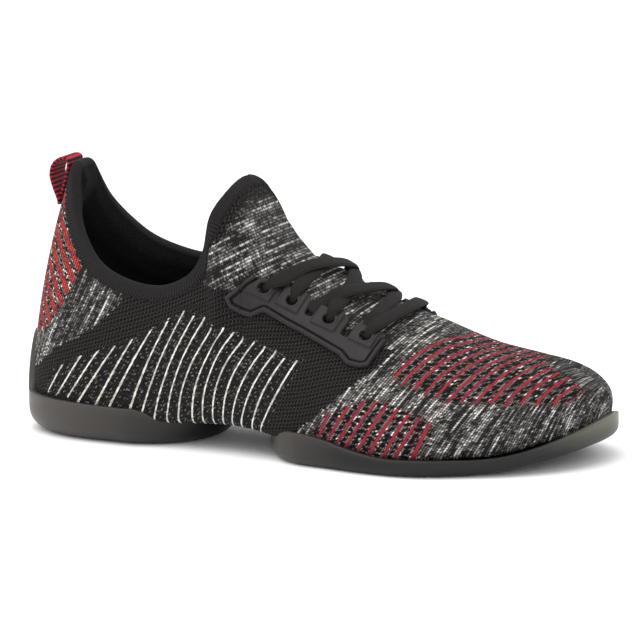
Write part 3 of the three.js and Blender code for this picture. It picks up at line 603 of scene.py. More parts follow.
# The end of each material: its colour, the height its bump is made from, and any roughness that varies
def connect(tree, shader, colour, height, strength, distance, roughness=None):
    bump = add(tree, "Bump", sockets={"Height": height, "Strength": strength, "Distance": distance})
    for name, wire in (("Base Color", colour), ("Normal", bump), ("Roughness", roughness)):
        if wire is not None:
            tree.links.new(wire.socket, shader.inputs[name])


def attribute(tree, name):
    return add(tree, "Attribute", out="Fac", attribute_name=name)


def noise(at, scale, detail=2.0, roughness=0.5, out=0):
    return at.feed("TexNoise", sockets={"Scale": scale, "Detail": detail, "Roughness": roughness}, out=out)


yarn = {
    "row": 1.2,  # mm from row to row of stitches; the real ones are about 0.9 mm, too fine to show
    "stitch": 0.85,  # mm along a row
    "black": "#161414",
    "charcoal": "#1c1a19",
    "melangeDark": "#211f1e",
    "mesh": "#2a2625",
    # painted shade: the holes' colour, the dark lining seen in the shade inside them
    "hole": "#030303",
    "grey": "#6a6764",
    "dimGrey": "#4a4745",
    "white": "#c4c0bc",
    "whiteLine": "#dcd8d0",
    "whiteLineDim": "#a39f98",
    "redLine": "#7c2034",
    "redLineWarm": "#862a2b",
    "redFleck": "#6e2f38",
    "orangeLine": "#b8362a",
    "binding": "#1b1919",
    "rib": "#242121",
    "ribGapShade": "#0f0e0e",
    # painted shade and highlight: a stitch's colour is scaled by these where it dives and at its top
    "shade": (0.1, 1.5),  # how bright a stitch is where it dives and at its top
}


# Dark, grey and white yarns that change every centimetre or so along a row
def melangeYarn(tree, course, wale, sideways, tones, seedAt):
    rows = course * (1 / yarn["row"])
    row = rows.calc("FLOOR")
    shifted = row * 0.5 + wale * (1 / yarn["stitch"])
    cell = add(tree, "CombineXYZ", row, shifted.calc("FLOOR"), sideways.calc("GREATER_THAN", 0.0))
    chance = cell.feed("TexWhiteNoise", noise_dimensions="3D")
    along = wale * 0.045 + sideways * 0.02
    streak = noise(add(tree, "CombineXYZ", row * 3.37, along, seedAt), 1.0)
    patch = noise(add(tree, "CombineXYZ", course * 0.06, along, seedAt + 6), 1.0)
    tone = streak + chance * 0.24 + patch * 0.18
    colour = tone.ramp(0.62, 0.82).blend(tones["melangeDark"], tones["grey"])
    colour = tone.ramp(0.8, 0.96).blend(colour, tones["white"])
    # the second value is the stitch's height, for the bump and for the painted shade on the stitches
    return colour, rows.wave(1, "COSINE") + shifted.wave(1, "COSINE") * 0.8, chance


# Knitted polyester: matt, with each zone's own yarns, stitches and holes, and a ribbed band round the collar
def knittedPolyester():
    material, tree, shader = newMaterial("knittedPolyester", Roughness=0.9, Specular_IOR_Level=0.18)
    c = {name: attribute(tree, name) for name in chartNames}
    tones = {name: linear(value) for name, value in yarn.items() if isinstance(value, str)}
    course, wale, sideways = c["course"], c["wale"], c["sideways"]
    melange, stitchUp, chance = melangeYarn(tree, course, wale, sideways, tones, 1.7)
    tongueMelange, tongueUp, _ = melangeYarn(tree, c["tongueCourse"], c["tongueWale"], sideways, tones, 4.3)

    # mesh: staggered round holes in rows that climb to the toe, painted near-black for the dark lining in
    # shade behind them
    lattice = (wale * 0.4 + course).wave(3.0, "COSINE") * (course * -0.4 + wale).wave(3.9, "COSINE")
    meshHole = lattice.calc("ABSOLUTE").ramp(0.36, 0.62)

    # painted shade: each loop of yarn is painted darker where it dives under the next, and painted lighter at
    # its top
    def withPaintedShade(colour, up):
        light = up.ramp(1.3, -1.6, *yarn["shade"])
        return add(tree, "VectorMath", colour, sockets={"Scale": light}, operation="SCALE")

    jag = chance * 1.6 - 0.8
    blur = noise(add(tree, "CombineXYZ", course, wale, 3.1), 0.4, out=1)
    blur = blur.feed("VectorMath", (0.5, 0.5, 0.5), operation="SUBTRACT")
    colour, up = withPaintedShade(meshHole.blend(tones["mesh"], tones["hole"]), stitchUp), stitchUp
    raised, pierced = 0.0, meshHole
    for inside, yarns, loopUp in (
        ("frontIn", melange, stitchUp), ("greyIn", melange, stitchUp), ("throatIn", tongueMelange, tongueUp),
    ):
        within = (c[inside] + jag).ramp(-zoneSoft, zoneSoft)
        colour = within.blend(colour, withPaintedShade(yarns, loopUp))
        up = within.ramp(0.0, 1.0, up, loopUp)
        pierced = pierced * (1.0 - within)

    lined = (
        # zone, half a line's width in pitches, pitch, a motif's height, its dot and hole, thread and mate
        ("heel", 0.25, 4.9, 2.4, 0.0, 0.7, "orangeLine", "redFleck"),
        ("white", 0.07, 5.0, 3.6, 0.6, 1.5, "whiteLine", "whiteLineDim"),
        ("ball", 0.13, 4.6, 2.3, 0.0, 1.15, "redLine", "redLineWarm"),
        ("toe", 0.125, 4.6, 2.3, 0.0, 1.15, "redLine", "redLineWarm"),
    )
    for zone, half, pitch, step, dot, ring, thread, mate in lined:
        line, within = c[zone + "Line"], (c[zone + "In"] + jag).ramp(-zoneSoft, zoneSoft)
        x = line.calc("FRACT") - 0.5
        place = wale * (1 / step)
        y = place.calc("FRACT") - 0.5
        at = add(tree, "CombineXYZ", x * pitch, y * step)
        at = blur.feed("VectorMath", (2.2, 2.2, 0.0), at, operation="MULTIPLY_ADD")
        fromMiddle = at.feed("VectorMath", operation="LENGTH", out="Value")
        hole = depth = fromMiddle.ramp(ring, ring * 0.6)
        if dot:
            tuft = add(tree, "CombineXYZ", line.calc("FLOOR"), place.calc("FLOOR"), 2.5)
            bright = tuft.feed("TexWhiteNoise", noise_dimensions="3D").blend(tones["dimGrey"], tones["grey"])
            onDot = fromMiddle.ramp(dot, dot * 0.6)
            ground = chance.ramp(0.7, 1.2).blend(tones["charcoal"], tones["grey"])
            # painted shade in the holes round each dot
            ground = onDot.blend((hole * 0.75).blend(ground, tones["hole"]), bright)
            depth = hole - onDot
        else:
            fleck = chance + 0.1 if zone == "heel" else chance
            ground = fleck.ramp(0.2, 0.5).blend(tones["black"], tones["grey"])
            ground = fleck.ramp(0.74, 0.8).blend(ground, tones["redFleck"])
            ground = fleck.ramp(0.9, 0.94).blend(ground, tones["white"])
            # painted shade in the holes between the lines
            ground = hole.blend(ground, tones["hole"])
        onLine = (0.5 - x.calc("ABSOLUTE")).calc("LESS_THAN", chance * (half * 0.35) + half * 0.83)
        if zone == "heel":
            strands = withPaintedShade(chance.ramp(0.45, 0.75).blend(tones[thread], tones[mate]), stitchUp)
        else:
            strands = blur.feed("SeparateXYZ").ramp(-0.1, 0.1).blend(tones[thread], tones[mate])
        colour = within.blend(colour, onLine.blend(withPaintedShade(ground, stitchUp), strands))
        raised = (onLine * within).calc("MAXIMUM", raised)
        pierced = depth * within + pierced * (1.0 - within)

    # the band knitted on round the collar: ribs that run in from its foot, with painted shade in the gaps
    # between them, then a plain binding along the rim
    foot, binding, fromRim = collarBand["width"], collarBand["binding"], c["rimDistance"]
    onBand, onBinding = fromRim.ramp(foot + 0.15, foot - 0.15), fromRim.ramp(binding + 0.1, binding - 0.1)
    rib = (fromRim * 0.3 + c["rimAlong"]).wave(collarBand["rib"]).ramp(-1.0, 1.0)
    # painted shade: the colour darkens in the troughs between the ribs
    ribbed = onBinding.blend(rib.blend(tones["ribGapShade"], tones["rib"]), tones["binding"])
    relief = pierced * -2.2 + up * -0.4 + raised * 1.3
    relief = onBand.ramp(0.0, 1.0, relief, onBinding.ramp(0.0, 1.0, rib, 1.3))
    connect(tree, shader, onBand.blend(colour, ribbed), relief, 0.6, 0.00035)
    return material


# A plain dark textile with a fine even weave, for the rim's binding, the lining and the footbed
def wovenTextile(name, dark, light, pitch):
    material, tree, shader = newMaterial(name, Roughness=0.92, Specular_IOR_Level=0.15)
    at = add(tree, "TexCoord", out="Object")
    cells = at.feed("TexVoronoi", sockets={"Scale": 0.8 / (pitch * mm), "Randomness": 0.35})
    tone = noise(at, 1 / (pitch * mm), 2.0, 0.6) * cells.ramp(0.1, 0.45)
    connect(tree, shader, tone.blend(linear(dark), linear(light)), tone, 0.6, 0.0003)
    return material


rubber = {
    "body": "#0c0b0a",
    "scuffed": "#161413",
    # painted light on the thin upper edge
    "edge": "#24211f",
    "heelBackLight": "#47423e",
    "waistEndHighlight": "#3a3632",
    "toeLip": "#5c5c52",
}


# Solid rubber from a mould: satin, with painted light on its thin edge, towards the heel's back and on the
# front pad's rear end, and lighter at the toe's lip
def mouldedRubber():
    material, tree, shader = newMaterial("mouldedRubber", IOR=1.5, Specular_IOR_Level=0.3)
    tones = {name: linear(value) for name, value in rubber.items()}
    at = add(tree, "TexCoord", out="Object")
    x, z = at.feed("SeparateXYZ"), at.feed("SeparateXYZ", out=2)
    cloud = noise(at, 45.0, 4.0, 0.6)
    colour = cloud.ramp(0.45, 0.75).blend(tones["body"], tones["scuffed"])
    # painted highlight: the thin upper edge painted lighter, as if lit through
    colour = attribute(tree, "edge").ramp(0.45, 1.0).blend(colour, tones["edge"])
    # painted light: the heel pad painted lighter towards its back
    colour = x.ramp(-0.045, -0.125).blend(colour, tones["heelBackLight"])
    # painted highlight on the front pad's rear end
    colour = (x.ramp(0.03, 0.0) * x.ramp(-0.03, -0.012)).blend(colour, tones["waistEndHighlight"])
    colour = (x.ramp(0.1, 0.124) * z.ramp(0.008, 0.018)).blend(colour, tones["toeLip"])
    connect(tree, shader, colour, noise(at, 2600.0, 1.0), 0.12, 0.0002, cloud.ramp(0.3, 0.7, 0.33, 0.5))
    return material


# Soft plastic moulded in one piece: satin, finely grained by its mould, with painted shade near-black along
# the groove behind its rim
def mouldedPlastic():
    material, tree, shader = newMaterial("mouldedPlastic", IOR=1.45, Specular_IOR_Level=0.35)
    at = add(tree, "TexCoord", out="Object")
    cloud = noise(at, 90.0, 3.0)
    colour = cloud.blend(linear("#141211"), linear("#1c1918"))
    # painted shade: near-black in the groove behind the rim
    colour = attribute(tree, "groove").blend(colour, linear("#020202"))
    connect(tree, shader, colour, noise(at, 3200.0, 1.0), 0.2, 0.0002, cloud.ramp(0.3, 0.7, 0.48, 0.6))
    return material


# Flat braided polyester: matt, fine ribs across it and a plain cord along either edge, with painted shade in
# the ribs' troughs and in the groove inside each cord
def braidedPolyester():
    material, tree, shader = newMaterial("braidedPolyester", Roughness=0.85, Specular_IOR_Level=0.2)
    chart = add(tree, "UVMap", uv_map="lace")
    across = chart.feed("SeparateXYZ", out=1).calc("ABSOLUTE")
    ribs = (across * 0.12 + chart.feed("SeparateXYZ")).wave(lace["rib"]).ramp(-1.0, 1.0)
    inEdge = across.ramp(lace["width"] * 0.38, lace["width"] * 0.42)
    groove = (across - lace["width"] * 0.4).calc("ABSOLUTE").ramp(0.0, 0.35)
    # painted shade: darker in the ribs' troughs and in the groove inside each cord
    shade = inEdge.ramp(0.0, 1.0, ribs, 0.75) * groove
    connect(tree, shader, shade.blend(linear("#131110"), linear("#1f1c1b")), shade, 0.6, 0.0003)
    return material


# Ribbed webbing: red and near-black ribs across the tape
def ribbedWebbing():
    material, tree, shader = newMaterial("ribbedWebbing", Roughness=0.75, Specular_IOR_Level=0.25)
    chart = add(tree, "UVMap", uv_map="tape")
    ribs = chart.feed("SeparateXYZ").wave(heelLoop["rib"])
    cords = chart.feed("SeparateXYZ", out=1).wave(heelLoop["cord"])
    reds = cords.ramp(-1.0, 1.0).blend(linear("#8c1226"), linear("#c0213a"))
    colour = ribs.ramp(-0.25, 0.35).blend(linear("#16090b"), reds)
    connect(tree, shader, colour, cords * 0.25 + ribs, 0.5, 0.0004)
    return material


heelLoop = {
    "width": 13.5,
    "tape": 1.3,
    "reach": 10.0,  # how far it stands out behind the rim
    "rib": 1.9,  # one red and one dark rib
    "cord": 0.9,  # the cords along the tape
    # back and up from the rim's top, shares of reach
    "path": [(0.7, -1.55), (0.94, -0.9), (1.02, -0.45), (0.88, -0.04), (0.52, 0.2), (0.2, 0.12)],
}

points, faces, slots, chart = makeUpperShell()
upper = makeMesh("upperShell", toFrame(points), faces)
upper.data.polygons.foreach_set("material_index", slots)
for column, name in enumerate(chartNames):
    addValues(upper, name, chart[:, column])
dress(
    upper, "knit", ["upper"], knittedPolyester(),
    wovenTextile("bindingTape", "#0f0e0e", "#2b2928", 0.5),
    wovenTextile("meshLining", "#030303", "#191817", 1.0),
)
print("upper made:", len(upper.data.polygons), "faces")


# The bare knit without creases, in mm on the last, which what lies on it is set against
def makeKnitTree():
    points, quads, count = [], [], 0
    for side in (outer, inner):
        grid = knitSide(side, {"stations": 240, "under": 4, "turn": 6, "wall": 60})[2]
        index = np.arange(grid[..., 0].size).reshape(grid.shape[:2]) + count
        points += grid.reshape(-1, 3).tolist()
        quads += quadsOf(index, side < 0).tolist()
        count += index.size
    return BVHTree.FromPolygons(points, quads)


knitTree = makeKnitTree()


def knitFrom(origin, direction):
    direction = Vector(direction).normalized()
    hit = knitTree.ray_cast(Vector(origin) - direction * 330, direction)
    return np.array(hit[0])


def knitUnder(x, y):
    return knitFrom((x, y, 0), (0, 0, -1))


def outwardAt(x, y, reach=3.25):
    along = knitUnder(x + reach, y) - knitUnder(x - reach, y)
    across = knitUnder(x, y + reach) - knitUnder(x, y - reach)
    return unit(np.cross(along, across))


eyestay = {
    "start": 118.0,  # heel line to the first eyelet, mm
    "spread": 29.0,  # ridge to the eyelets, seen from above
    "length": 47.0,  # first to last eyelet
    "depth": 12.0,  # the eyelets to the lower edge
    "field": 1.3,  # how thick its flat field is
    "rim": 2.1,  # the rounded rim's width along the lower edge
    "rimHeight": 1.95,
    "plate": (-6.0, 4.7, -4.4),  # rear, front and lower edge of the raised plate, from its eyelet
    "plateHeight": 2.1,
    "eyelet": 4.4,
    "ring": 0.25,  # how far the ring round an eyelet stands up
    "ringSteps": (0, 0.3, 0.7, 1.1, 1.5),  # from the eyelet's edge
    "fineness": 0.28,
    "groove": 1.0,  # how deep the groove behind the rim is
    # along in shares of length, up in shares of depth
    "outline": [
        (-0.28, -0.82), (-0.14, 0.22), (0.16, 0.52), (0.36, 0.6), (0.42, 0.4), (0.43, -0.15), (0.49, -0.15),
        (0.5, 0.4), (0.76, 0.48), (0.8, 0.3), (0.8, -0.3), (0.86, -0.3), (0.86, 0.38), (1.13, 0.46),
        (1.18, 0.1), (1.17, -0.95), (1.1, -1.13), (0.98, -1.2), (0.88, -1.0), (0.46, -0.8), (0.1, -0.7),
        (0.02, -1.03), (-0.2, -1.05),
    ],
    "lowerFrom": 14,  # the outline's corner where the rim begins; it ends at the second
    "eyelets": [(0, 0), (0.27, 0.08), (0.64, 0), (1, 0)],
}


def stayFrame(side):
    first = knitUnder(eyestay["start"], side * eyestay["spread"])
    end = knitUnder(eyestay["start"] + eyestay["length"], side * eyestay["spread"] * 0.9)
    u = unit(end - first)
    middle = (first + end) / 2
    n = outwardAt(middle[0], middle[1] + side * eyestay["depth"] * 0.25)
    n = unit(n - u * n.dot(u))
    return first, u, unit(np.cross(n, u)) * -side, n


stayFrames = {side: stayFrame(side) for side in (outer, inner)}


def onStay(side, along, up):
    first, u, v, n = stayFrames[side]
    return knitFrom(first + u * along + v * up, -n)


def rounded(corners, radius):
    corners = np.array(corners, float)
    made = []
    for k, corner in enumerate(corners):
        before, after = corners[k - 1] - corner, corners[(k + 1) % len(corners)] - corner
        cut = min(radius, np.linalg.norm(before) / 2.05, np.linalg.norm(after) / 2.05)
        a, b = corner + unit(before) * cut, corner + unit(after) * cut
        for t in (0, 0.33, 0.67, 1):
            made.append(a * (1 - t) ** 2 + 2 * corner * t * (1 - t) + b * t * t)
    return np.array(made)


def farFrom(line, places):
    a, d = line[:-1], np.diff(line, axis=0)
    t = np.clip(((places[:, None] - a) * d).sum(-1) / np.maximum((d**2).sum(-1), 1e-9), 0, 1)
    return np.linalg.norm(places[:, None] - a - d * t[..., None], axis=-1).min(1)


# Distance to the outline, below zero outside it
def insideOf(outline, places):
    a, b = outline, np.roll(outline, -1, axis=0)
    d = b - a
    crosses = (a[:, 1] > places[:, None, 1]) != (b[:, 1] > places[:, None, 1])
    at = a[:, 0] + (places[:, None, 1] - a[:, 1]) * d[:, 0] / np.where(d[:, 1] == 0, 1e-9, d[:, 1])
    within = (crosses & (places[:, None, 0] < at)).sum(1) % 2 == 1
    distance = farFrom(np.concatenate([outline, outline[:1]]), places)
    return np.where(within, distance, -distance)


def fromEyelets(places, eyelets):
    return np.min([np.linalg.norm(places - e, axis=1) for e in eyelets], 0) - eyestay["eyelet"] / 2


# How thick the eyestay is at places in its frame, and where its groove is, which gets painted shade
def stayRelief(places, outline, eyelets, size):
    rear, front, low = eyestay["plate"]
    edge = np.maximum(insideOf(outline, places), 0)
    lower = np.array(eyestay["outline"][eyestay["lowerFrom"]:] + eyestay["outline"][:2]) * size
    fromLower = farFrom(lower, places)
    rise = np.full(len(places), eyestay["field"])
    for centre in eyelets:
        x, y = (places - centre).T
        onPlate = np.minimum(np.minimum(x - rear, front - x), y - low)
        onPlate = np.minimum(onPlate, fromLower - eyestay["rim"] - 0.6)
        rise = np.maximum(rise, mix(eyestay["field"], eyestay["plateHeight"], smooth(-0.15, 0.3, onPlate)))
    tube = np.sqrt(np.clip(1 - ((fromLower - eyestay["rim"] / 2) / (eyestay["rim"] / 2)) ** 2, 0, 1))
    rise = np.where(fromLower < eyestay["rim"], eyestay["rimHeight"] * (0.72 + 0.28 * tube), rise)
    groove = np.exp(-(((fromLower - eyestay["rim"] - 0.15) / 0.36) ** 2))
    rise -= eyestay["groove"] * groove
    rise *= 0.55 + 0.45 * np.sqrt(np.clip(edge / 0.7, 0, 1))
    fromHole = fromEyelets(places, eyelets)
    ring = np.clip(1 - ((fromHole - 0.75) / 0.75) ** 2, 0, 1)
    return rise + eyestay["ring"] * np.sqrt(ring) - 0.35 * smooth(-0.45, 0.0, -fromHole), groove


# A moulded eyestay: a rim and a groove along its lower edge, and a raised plate with a ring round each eyelet
def makeEyestay(side, name, node, material):
    size = np.array((eyestay["length"], eyestay["depth"]))
    outline = rounded(np.array(eyestay["outline"]) * size, 1.1)
    eyelets = [np.array(place) * size for place in eyestay["eyelets"]]
    radii = [eyestay["eyelet"] / 2 + r for r in eyestay["ringSteps"]]
    loops = [outline] + [e + circle(32) * radius for e in eyelets for radius in radii]
    step = eyestay["fineness"]
    axes = [np.arange(low, high, step) for low, high in zip(outline.min(0), outline.max(0))]
    spots = np.stack(np.meshgrid(*axes), -1).reshape(-1, 2)
    spots = spots[(insideOf(outline, spots) > step / 2) & (fromEyelets(spots, eyelets) > 1.5 + step / 2)]
    flat, edges = [], []
    for loop in loops:
        edges += [(len(flat) + k, len(flat) + (k + 1) % len(loop)) for k in range(len(loop))]
        flat += list(loop)
    made = delaunay_2d_cdt([Vector(p) for p in [*flat, *spots]], edges, [], 0, 1e-5)
    places, triangles = np.array([tuple(p) for p in made[0]]), np.array(made[2])
    centres = places[triangles].mean(1)
    triangles = triangles[(insideOf(outline, centres) > 0) & (fromEyelets(centres, eyelets) > -0.02)]
    rise, groove = stayRelief(places, outline, eyelets, size)
    n = stayFrames[side][3]
    top, bottom = [], []
    for (a, b), up in zip(places, rise):
        foot = onStay(side, a, b)
        along, above = (onStay(side, a + d, b + e) - onStay(side, a - d, b - e) for d, e in ((2, 0), (0, 2)))
        out = np.cross(along, above)
        out = unit(unit(out) * np.sign(out.dot(n)) + n * 0.3)
        bottom.append(foot - out * 0.2)
        top.append(foot + out * (0.3 + up))
    count = len(places)
    faces = [tuple(t) for t in triangles] + [tuple(t[::-1] + count) for t in triangles]
    halfEdges = {(int(t[k]), int(t[(k + 1) % 3])) for t in triangles for k in range(3)}
    faces += [(b, a, a + count, b + count) for a, b in halfEdges if (b, a) not in halfEdges]
    if side > 0:
        faces = [tuple(reversed(face)) for face in faces]
    piece = makeMesh(name, toFrame(np.concatenate([top, bottom])), faces)
    # where the groove is, for the painted shade in it
    addValues(piece, "groove", np.concatenate([groove, groove]))
    dress(piece, "moulding", [node], material)


plastic = mouldedPlastic()
makeEyestay(outer, "eyestayOuter", "eyestay_outer", plastic)
makeEyestay(inner, "eyestayInner", "eyestay_inner", plastic)
print("eyestays made")


# Faces round a stack of n rings of m points and, if capped, over both its ends
def tubeFaces(n, m, capped=True):
    faces = [
        (k * m + i, k * m + (i + 1) % m, (k + 1) * m + (i + 1) % m, (k + 1) * m + i)
        for k in range(n - 1) for i in range(m)
    ]
    return faces + [tuple(reversed(range(m))), tuple(range((n - 1) * m, n * m))] * capped


# A band swept along steps of place, outward and sideways direction, with a chart in mm along and across it
def sweep(name, places, outs, acrosses, section, chartName):
    section = np.array(section)
    charted = section if section.ndim == 2 else section[len(section) // 2]
    rings = places[:, None] + acrosses[:, None] * section[..., :1] + outs[:, None] * section[..., 1:]
    n, m = rings.shape[:2]
    piece = makeMesh(name, toFrame(rings.reshape(-1, 3)), tubeFaces(n, m))
    corners = np.array([corner.vertex_index for corner in piece.data.loops])
    chart = np.stack([lengthsAlong(places)[corners // m], charted[corners % m, 0]], 1)
    piece.data.uv_layers.new(name=chartName).data.foreach_set("uv", chart.astype(np.float32).ravel())
    return piece


lace = {
    "width": 6.4,
    "thick": 1.9,
    "rib": 0.9,
    "bow": 7.0,  # how far each bar bows to the toe
    # eyelets counted on the outer and the inner side, and how high the bar rides over the ridge
    "bars": [(0, 1.4, 3.8), (1, 0.2, 2.0), (1.5, 2.4, 3.8), (2, 1, 2.0), (2.8, 2.2, 2.0), (3, 3.2, 2.6)],
    "holes": (0, 1, 2, 3, 0.2, 2.2, 3.2),  # places where a bar dives into an eyelet
    "steps": 64,
}


def laceEnd(side, place):
    along, up = rowAt(np.array(eyestay["eyelets"], float), place)
    return onStay(side, along * eyestay["length"], up * eyestay["depth"])


def laceBar(name, near, far, lift, material):
    a, b = laceEnd(outer, near), laceEnd(inner, far)
    onPlate = 0.5 + eyestay["plateHeight"] + lace["thick"] / 2
    places, outs, widths = [], [], []
    for t in np.linspace(0, 1, lace["steps"] + 1):
        x = mix(a[0], b[0], t) + lace["bow"] * math.sin(math.pi * t)
        y = mix(a[1], b[1], t)
        fromEnd = min(t, 1 - t)
        dives = (near if t < 0.5 else far) in lace["holes"]
        over = mix(onPlate, lift, smooth(0, 0.5, fromEnd * 1.6))
        end, low, high = (-0.6, 0.0, 0.055) if dives else (0.5, 0.1, 0.24)
        over = mix(end, over, smooth(low, high, fromEnd))
        outs.append(outwardAt(x, y))
        places.append(knitUnder(x, y) + outs[-1] * over)
        widths.append(mix(0.6, 1, smooth(0.0, 0.12, fromEnd)) if dives else 1.0)
    places, outs = np.array(places), np.array(outs)
    for _ in range(2):
        places[1:-1] = places[1:-1] * 0.5 + (places[:-2] + places[2:]) * 0.25
        outs[1:-1] = unit(outs[1:-1] * 0.5 + (outs[:-2] + outs[2:]) * 0.25)
    along = unit(np.gradient(places, axis=0))
    acrosses = unit(np.cross(outs, along))
    c, d = circle(16).T
    widths = np.array(widths)[:, None]
    section = np.stack([
        lace["width"] / 2 * np.sign(c) * abs(c) ** 0.7 * widths,
        lace["thick"] / 2 * np.sign(d) * abs(d) ** 0.8 * (1.6 - 0.6 * widths),
    ], -1)
    piece = sweep(name, places, unit(np.cross(along, acrosses)), acrosses, section, "lace")
    dress(piece, "lace", ["laces"], material)


braid = braidedPolyester()
for number, (near, far, lift) in enumerate(lace["bars"]):
    laceBar("laceBar%d" % (number + 1), near, far, lift, braid)
print("laces made")


def makeLoop():
    heel = knitPoint(outer, 0.0, 0.865)
    tail = [knitPoint(outer, 0.0, h) for h in (0.955, 0.9)]
    rim = knitPoint(outer, 0.0, 1.0)
    push = np.array((-1, 0, 0.12)) * (0.45 + heelLoop["tape"] / 2)
    free = [rim + (-back * heelLoop["reach"], 0, up * heelLoop["reach"]) for back, up in heelLoop["path"]]
    corners = np.array([heel + push] + free + [p + push for p in tail])
    places = rowAt(corners, np.linspace(0, len(corners) - 1, 90))
    acrosses = np.tile((0.0, 1.0, 0.0), (len(places), 1))
    outs = unit(np.cross(unit(np.gradient(places, axis=0)), acrosses))
    w, h = heelLoop["width"] / 2, heelLoop["tape"] / 2
    edge = [(w, 0), (w - 0.25, h * 0.8), (w - 0.7, h)]
    section = edge + [(x, h) for x in np.linspace(w - 2, 2 - w, 7)] + [(-x, y) for x, y in reversed(edge)]
    section += [(-x, -y) for x, y in edge[1:]] + [(-x, -h) for x in np.linspace(w - 2, 2 - w, 7)]
    section += [(x, -y) for x, y in reversed(edge[1:])]
    piece = sweep("heelLoop", places, outs, acrosses, section, "tape")
    dress(piece, "webbing", ["pull_loop"], ribbedWebbing())


makeLoop()
print("heel loop made")

sole = {
    "heelEnd": (58, 89),  # heel line to where the pad's round end begins, and to its tip
    "forefootEnd": (136, 116),
    "heelRound": 10,  # the radius between tread and side
    "forefootRound": 6,
    "wall": 2.4,
    "springFrom": 0.78,  # share of the length where the tread starts to rise
    "spring": 9.0,
    "heelCup": 17.0,
    "heelTab": 41.0,
    "ballCup": 7.5,
    "endCup": 14.0,
    "toeCup": 20.0,
    "lip": 0.9,  # how far the upper edge is rounded
    "fineness": 4,
    "rand": 2.0,  # a plain strip round the tread
    "recess": 0.9,  # how deep the field inside it lies
    "stud": 3.0,  # across a stud
    "studPitch": 4.4,
    "studsTo": 0.9,  # share of the length up to which there are studs
}


def springAt(x):
    return sole["spring"] * np.clip((x / last["length"] - sole["springFrom"]) / 0.22, 0, 1.1) ** 2


def stationAt(x):
    low, high = 0.0, float(toeRib)
    for _ in range(24):
        half = (low + high) / 2
        if ribAt(ribFeet, half)[0] * last["length"] < x:
            low = half
        else:
            high = half
    return low


# A pad's outline from above: place, side, station and, on its round end, how far out it is, or else -1
def padRing(start, stop, tip, steps):
    endSteps, passes = 12 * sole["fineness"], 3 * sole["fineness"] ** 2
    stations = np.linspace(start, stop, steps * sole["fineness"] + 1)
    feet = {side: ribLine(side, stations)[0][:, :2] for side in (outer, inner)}
    none = stations * 0
    outerLine, innerLine = (
        np.column_stack([feet[side], none + side, stations, none - 1]) for side in (outer, inner)
    )
    front = tip > feet[outer][-1][0]
    a, b = (feet[outer][-1], feet[inner][-1]) if front else (feet[inner][0], feet[outer][0])
    angle = math.pi * np.arange(1, endSteps) / endSteps
    out = np.sin(angle)
    arc = [mix(a[0], tip, out), mix(a[1], b[1], (1 - np.cos(angle)) / 2), out * 0, out * 0, out]
    arc, half = np.column_stack(arc), endSteps // 2 - 1
    ring = np.concatenate(
        [outerLine, arc, innerLine[::-1][:-1]] if front else
        [arc[half:], outerLine, innerLine[:-1][::-1], arc[:half]]
    )
    isEnd = ring[:, 4] >= 0
    soft = np.roll(isEnd, 1) | np.roll(isEnd, -1)
    for _ in range(passes):
        near = (np.roll(ring[:, :2], 1, 0) + np.roll(ring[:, :2], -1, 0)) / 2
        ring[soft, :2] = (ring[:, :2] * 0.5 + near * 0.5)[soft]
    along = np.roll(ring[:, :2], -1, 0) - np.roll(ring[:, :2], 1, 0)
    return ring, unit(np.stack([along[:, 1], -along[:, 0]], 1))


# Where the knit's side is at given heights
def sideAt(side, station, z):
    def onSide(height):
        outside, inside = (knitPoint(half, station, height) for half in (outer, inner))
        return np.where((side < 0)[:, None], outside, inside)

    low, high = np.full(len(z), wallFrom), np.ones(len(z))
    for _ in range(18):
        half = (low + high) / 2
        under = onSide(half)[:, 2] < z
        low, high = np.where(under, half, low), np.where(under, high, half)
    return onSide(low)[:, :2]


def makePad(name, node, ringParts, edgeRound, cupAt, material):
    ring, normal = ringParts
    side, station, end = ring[:, 2], ring[:, 3], ring[:, 4]
    bed, spring = bedAt(ring[:, 0]), springAt(ring[:, 0])
    cup = cupAt(ring, bed)
    wall, lip = 0.3 + sole["wall"], sole["lip"]
    foot = wall - edgeRound - sole["rand"]
    rise = np.minimum(edgeRound, bed - spring - 0.5)
    low = np.minimum(edgeRound + spring, bed - 0.5)
    # each row's height, how far out from the last it lies, and its share of the way up to the thin edge
    rows = [(spring + sole["recess"], foot - 0.5, 0.0), (spring, foot, 0.0)]
    for angle in np.linspace(0, math.pi / 2, 9):
        rows.append((spring + rise * (1 - math.cos(angle)), wall - edgeRound * (1 - math.sin(angle)), 0.0))
    rows += [(mix(low, cup, share), wall, share) for share in (0.2, 0.4, 0.6, 0.8, 0.92)]
    for angle in np.linspace(0.2, math.pi / 2, 5):
        rows.append((cup - lip * 0.6 * (1 - math.sin(angle)), wall - lip * (1 - math.cos(angle)), 1.0))
    rows += [(cup - 0.1, 0.4, 1.0), (cup - 1.0, -0.8, 1.0), (np.minimum(bed + 0.6, cup - 1.2), -1.0, 0.0)]

    points, edge, count = [], [], len(ring)
    for z, offset, share in rows:
        base = ring[:, :2].copy()
        above = (z > bed + last["featherRadius"]) & (end < 0)
        if above.any():
            base[above] = sideAt(side[above], station[above], z[above])
        points.append(np.column_stack([base + normal * offset, z]))
        edge.append(np.full(count, share))
    faces = tubeFaces(len(rows), count, capped=False)
    for base, turned in ((0, True), ((len(rows) - 1) * count, False)):
        for i in range(count // 2):
            quad = list(dict.fromkeys(base + k % count for k in (i, i + 1, count - i - 1, count - i)))
            if len(quad) >= 3:
                faces.append(tuple(reversed(quad)) if turned else tuple(quad))
    piece = makeMesh(name, toFrame(np.concatenate(points)), faces)
    # the share of the way up to the thin edge, where the rubber gets painted light
    addValues(piece, "edge", np.concatenate(edge))
    dress(piece, "rubber", [node], material)
    return studsWithin(ring[:, :2] + normal * (foot - 0.5 - sole["stud"] * 0.6))


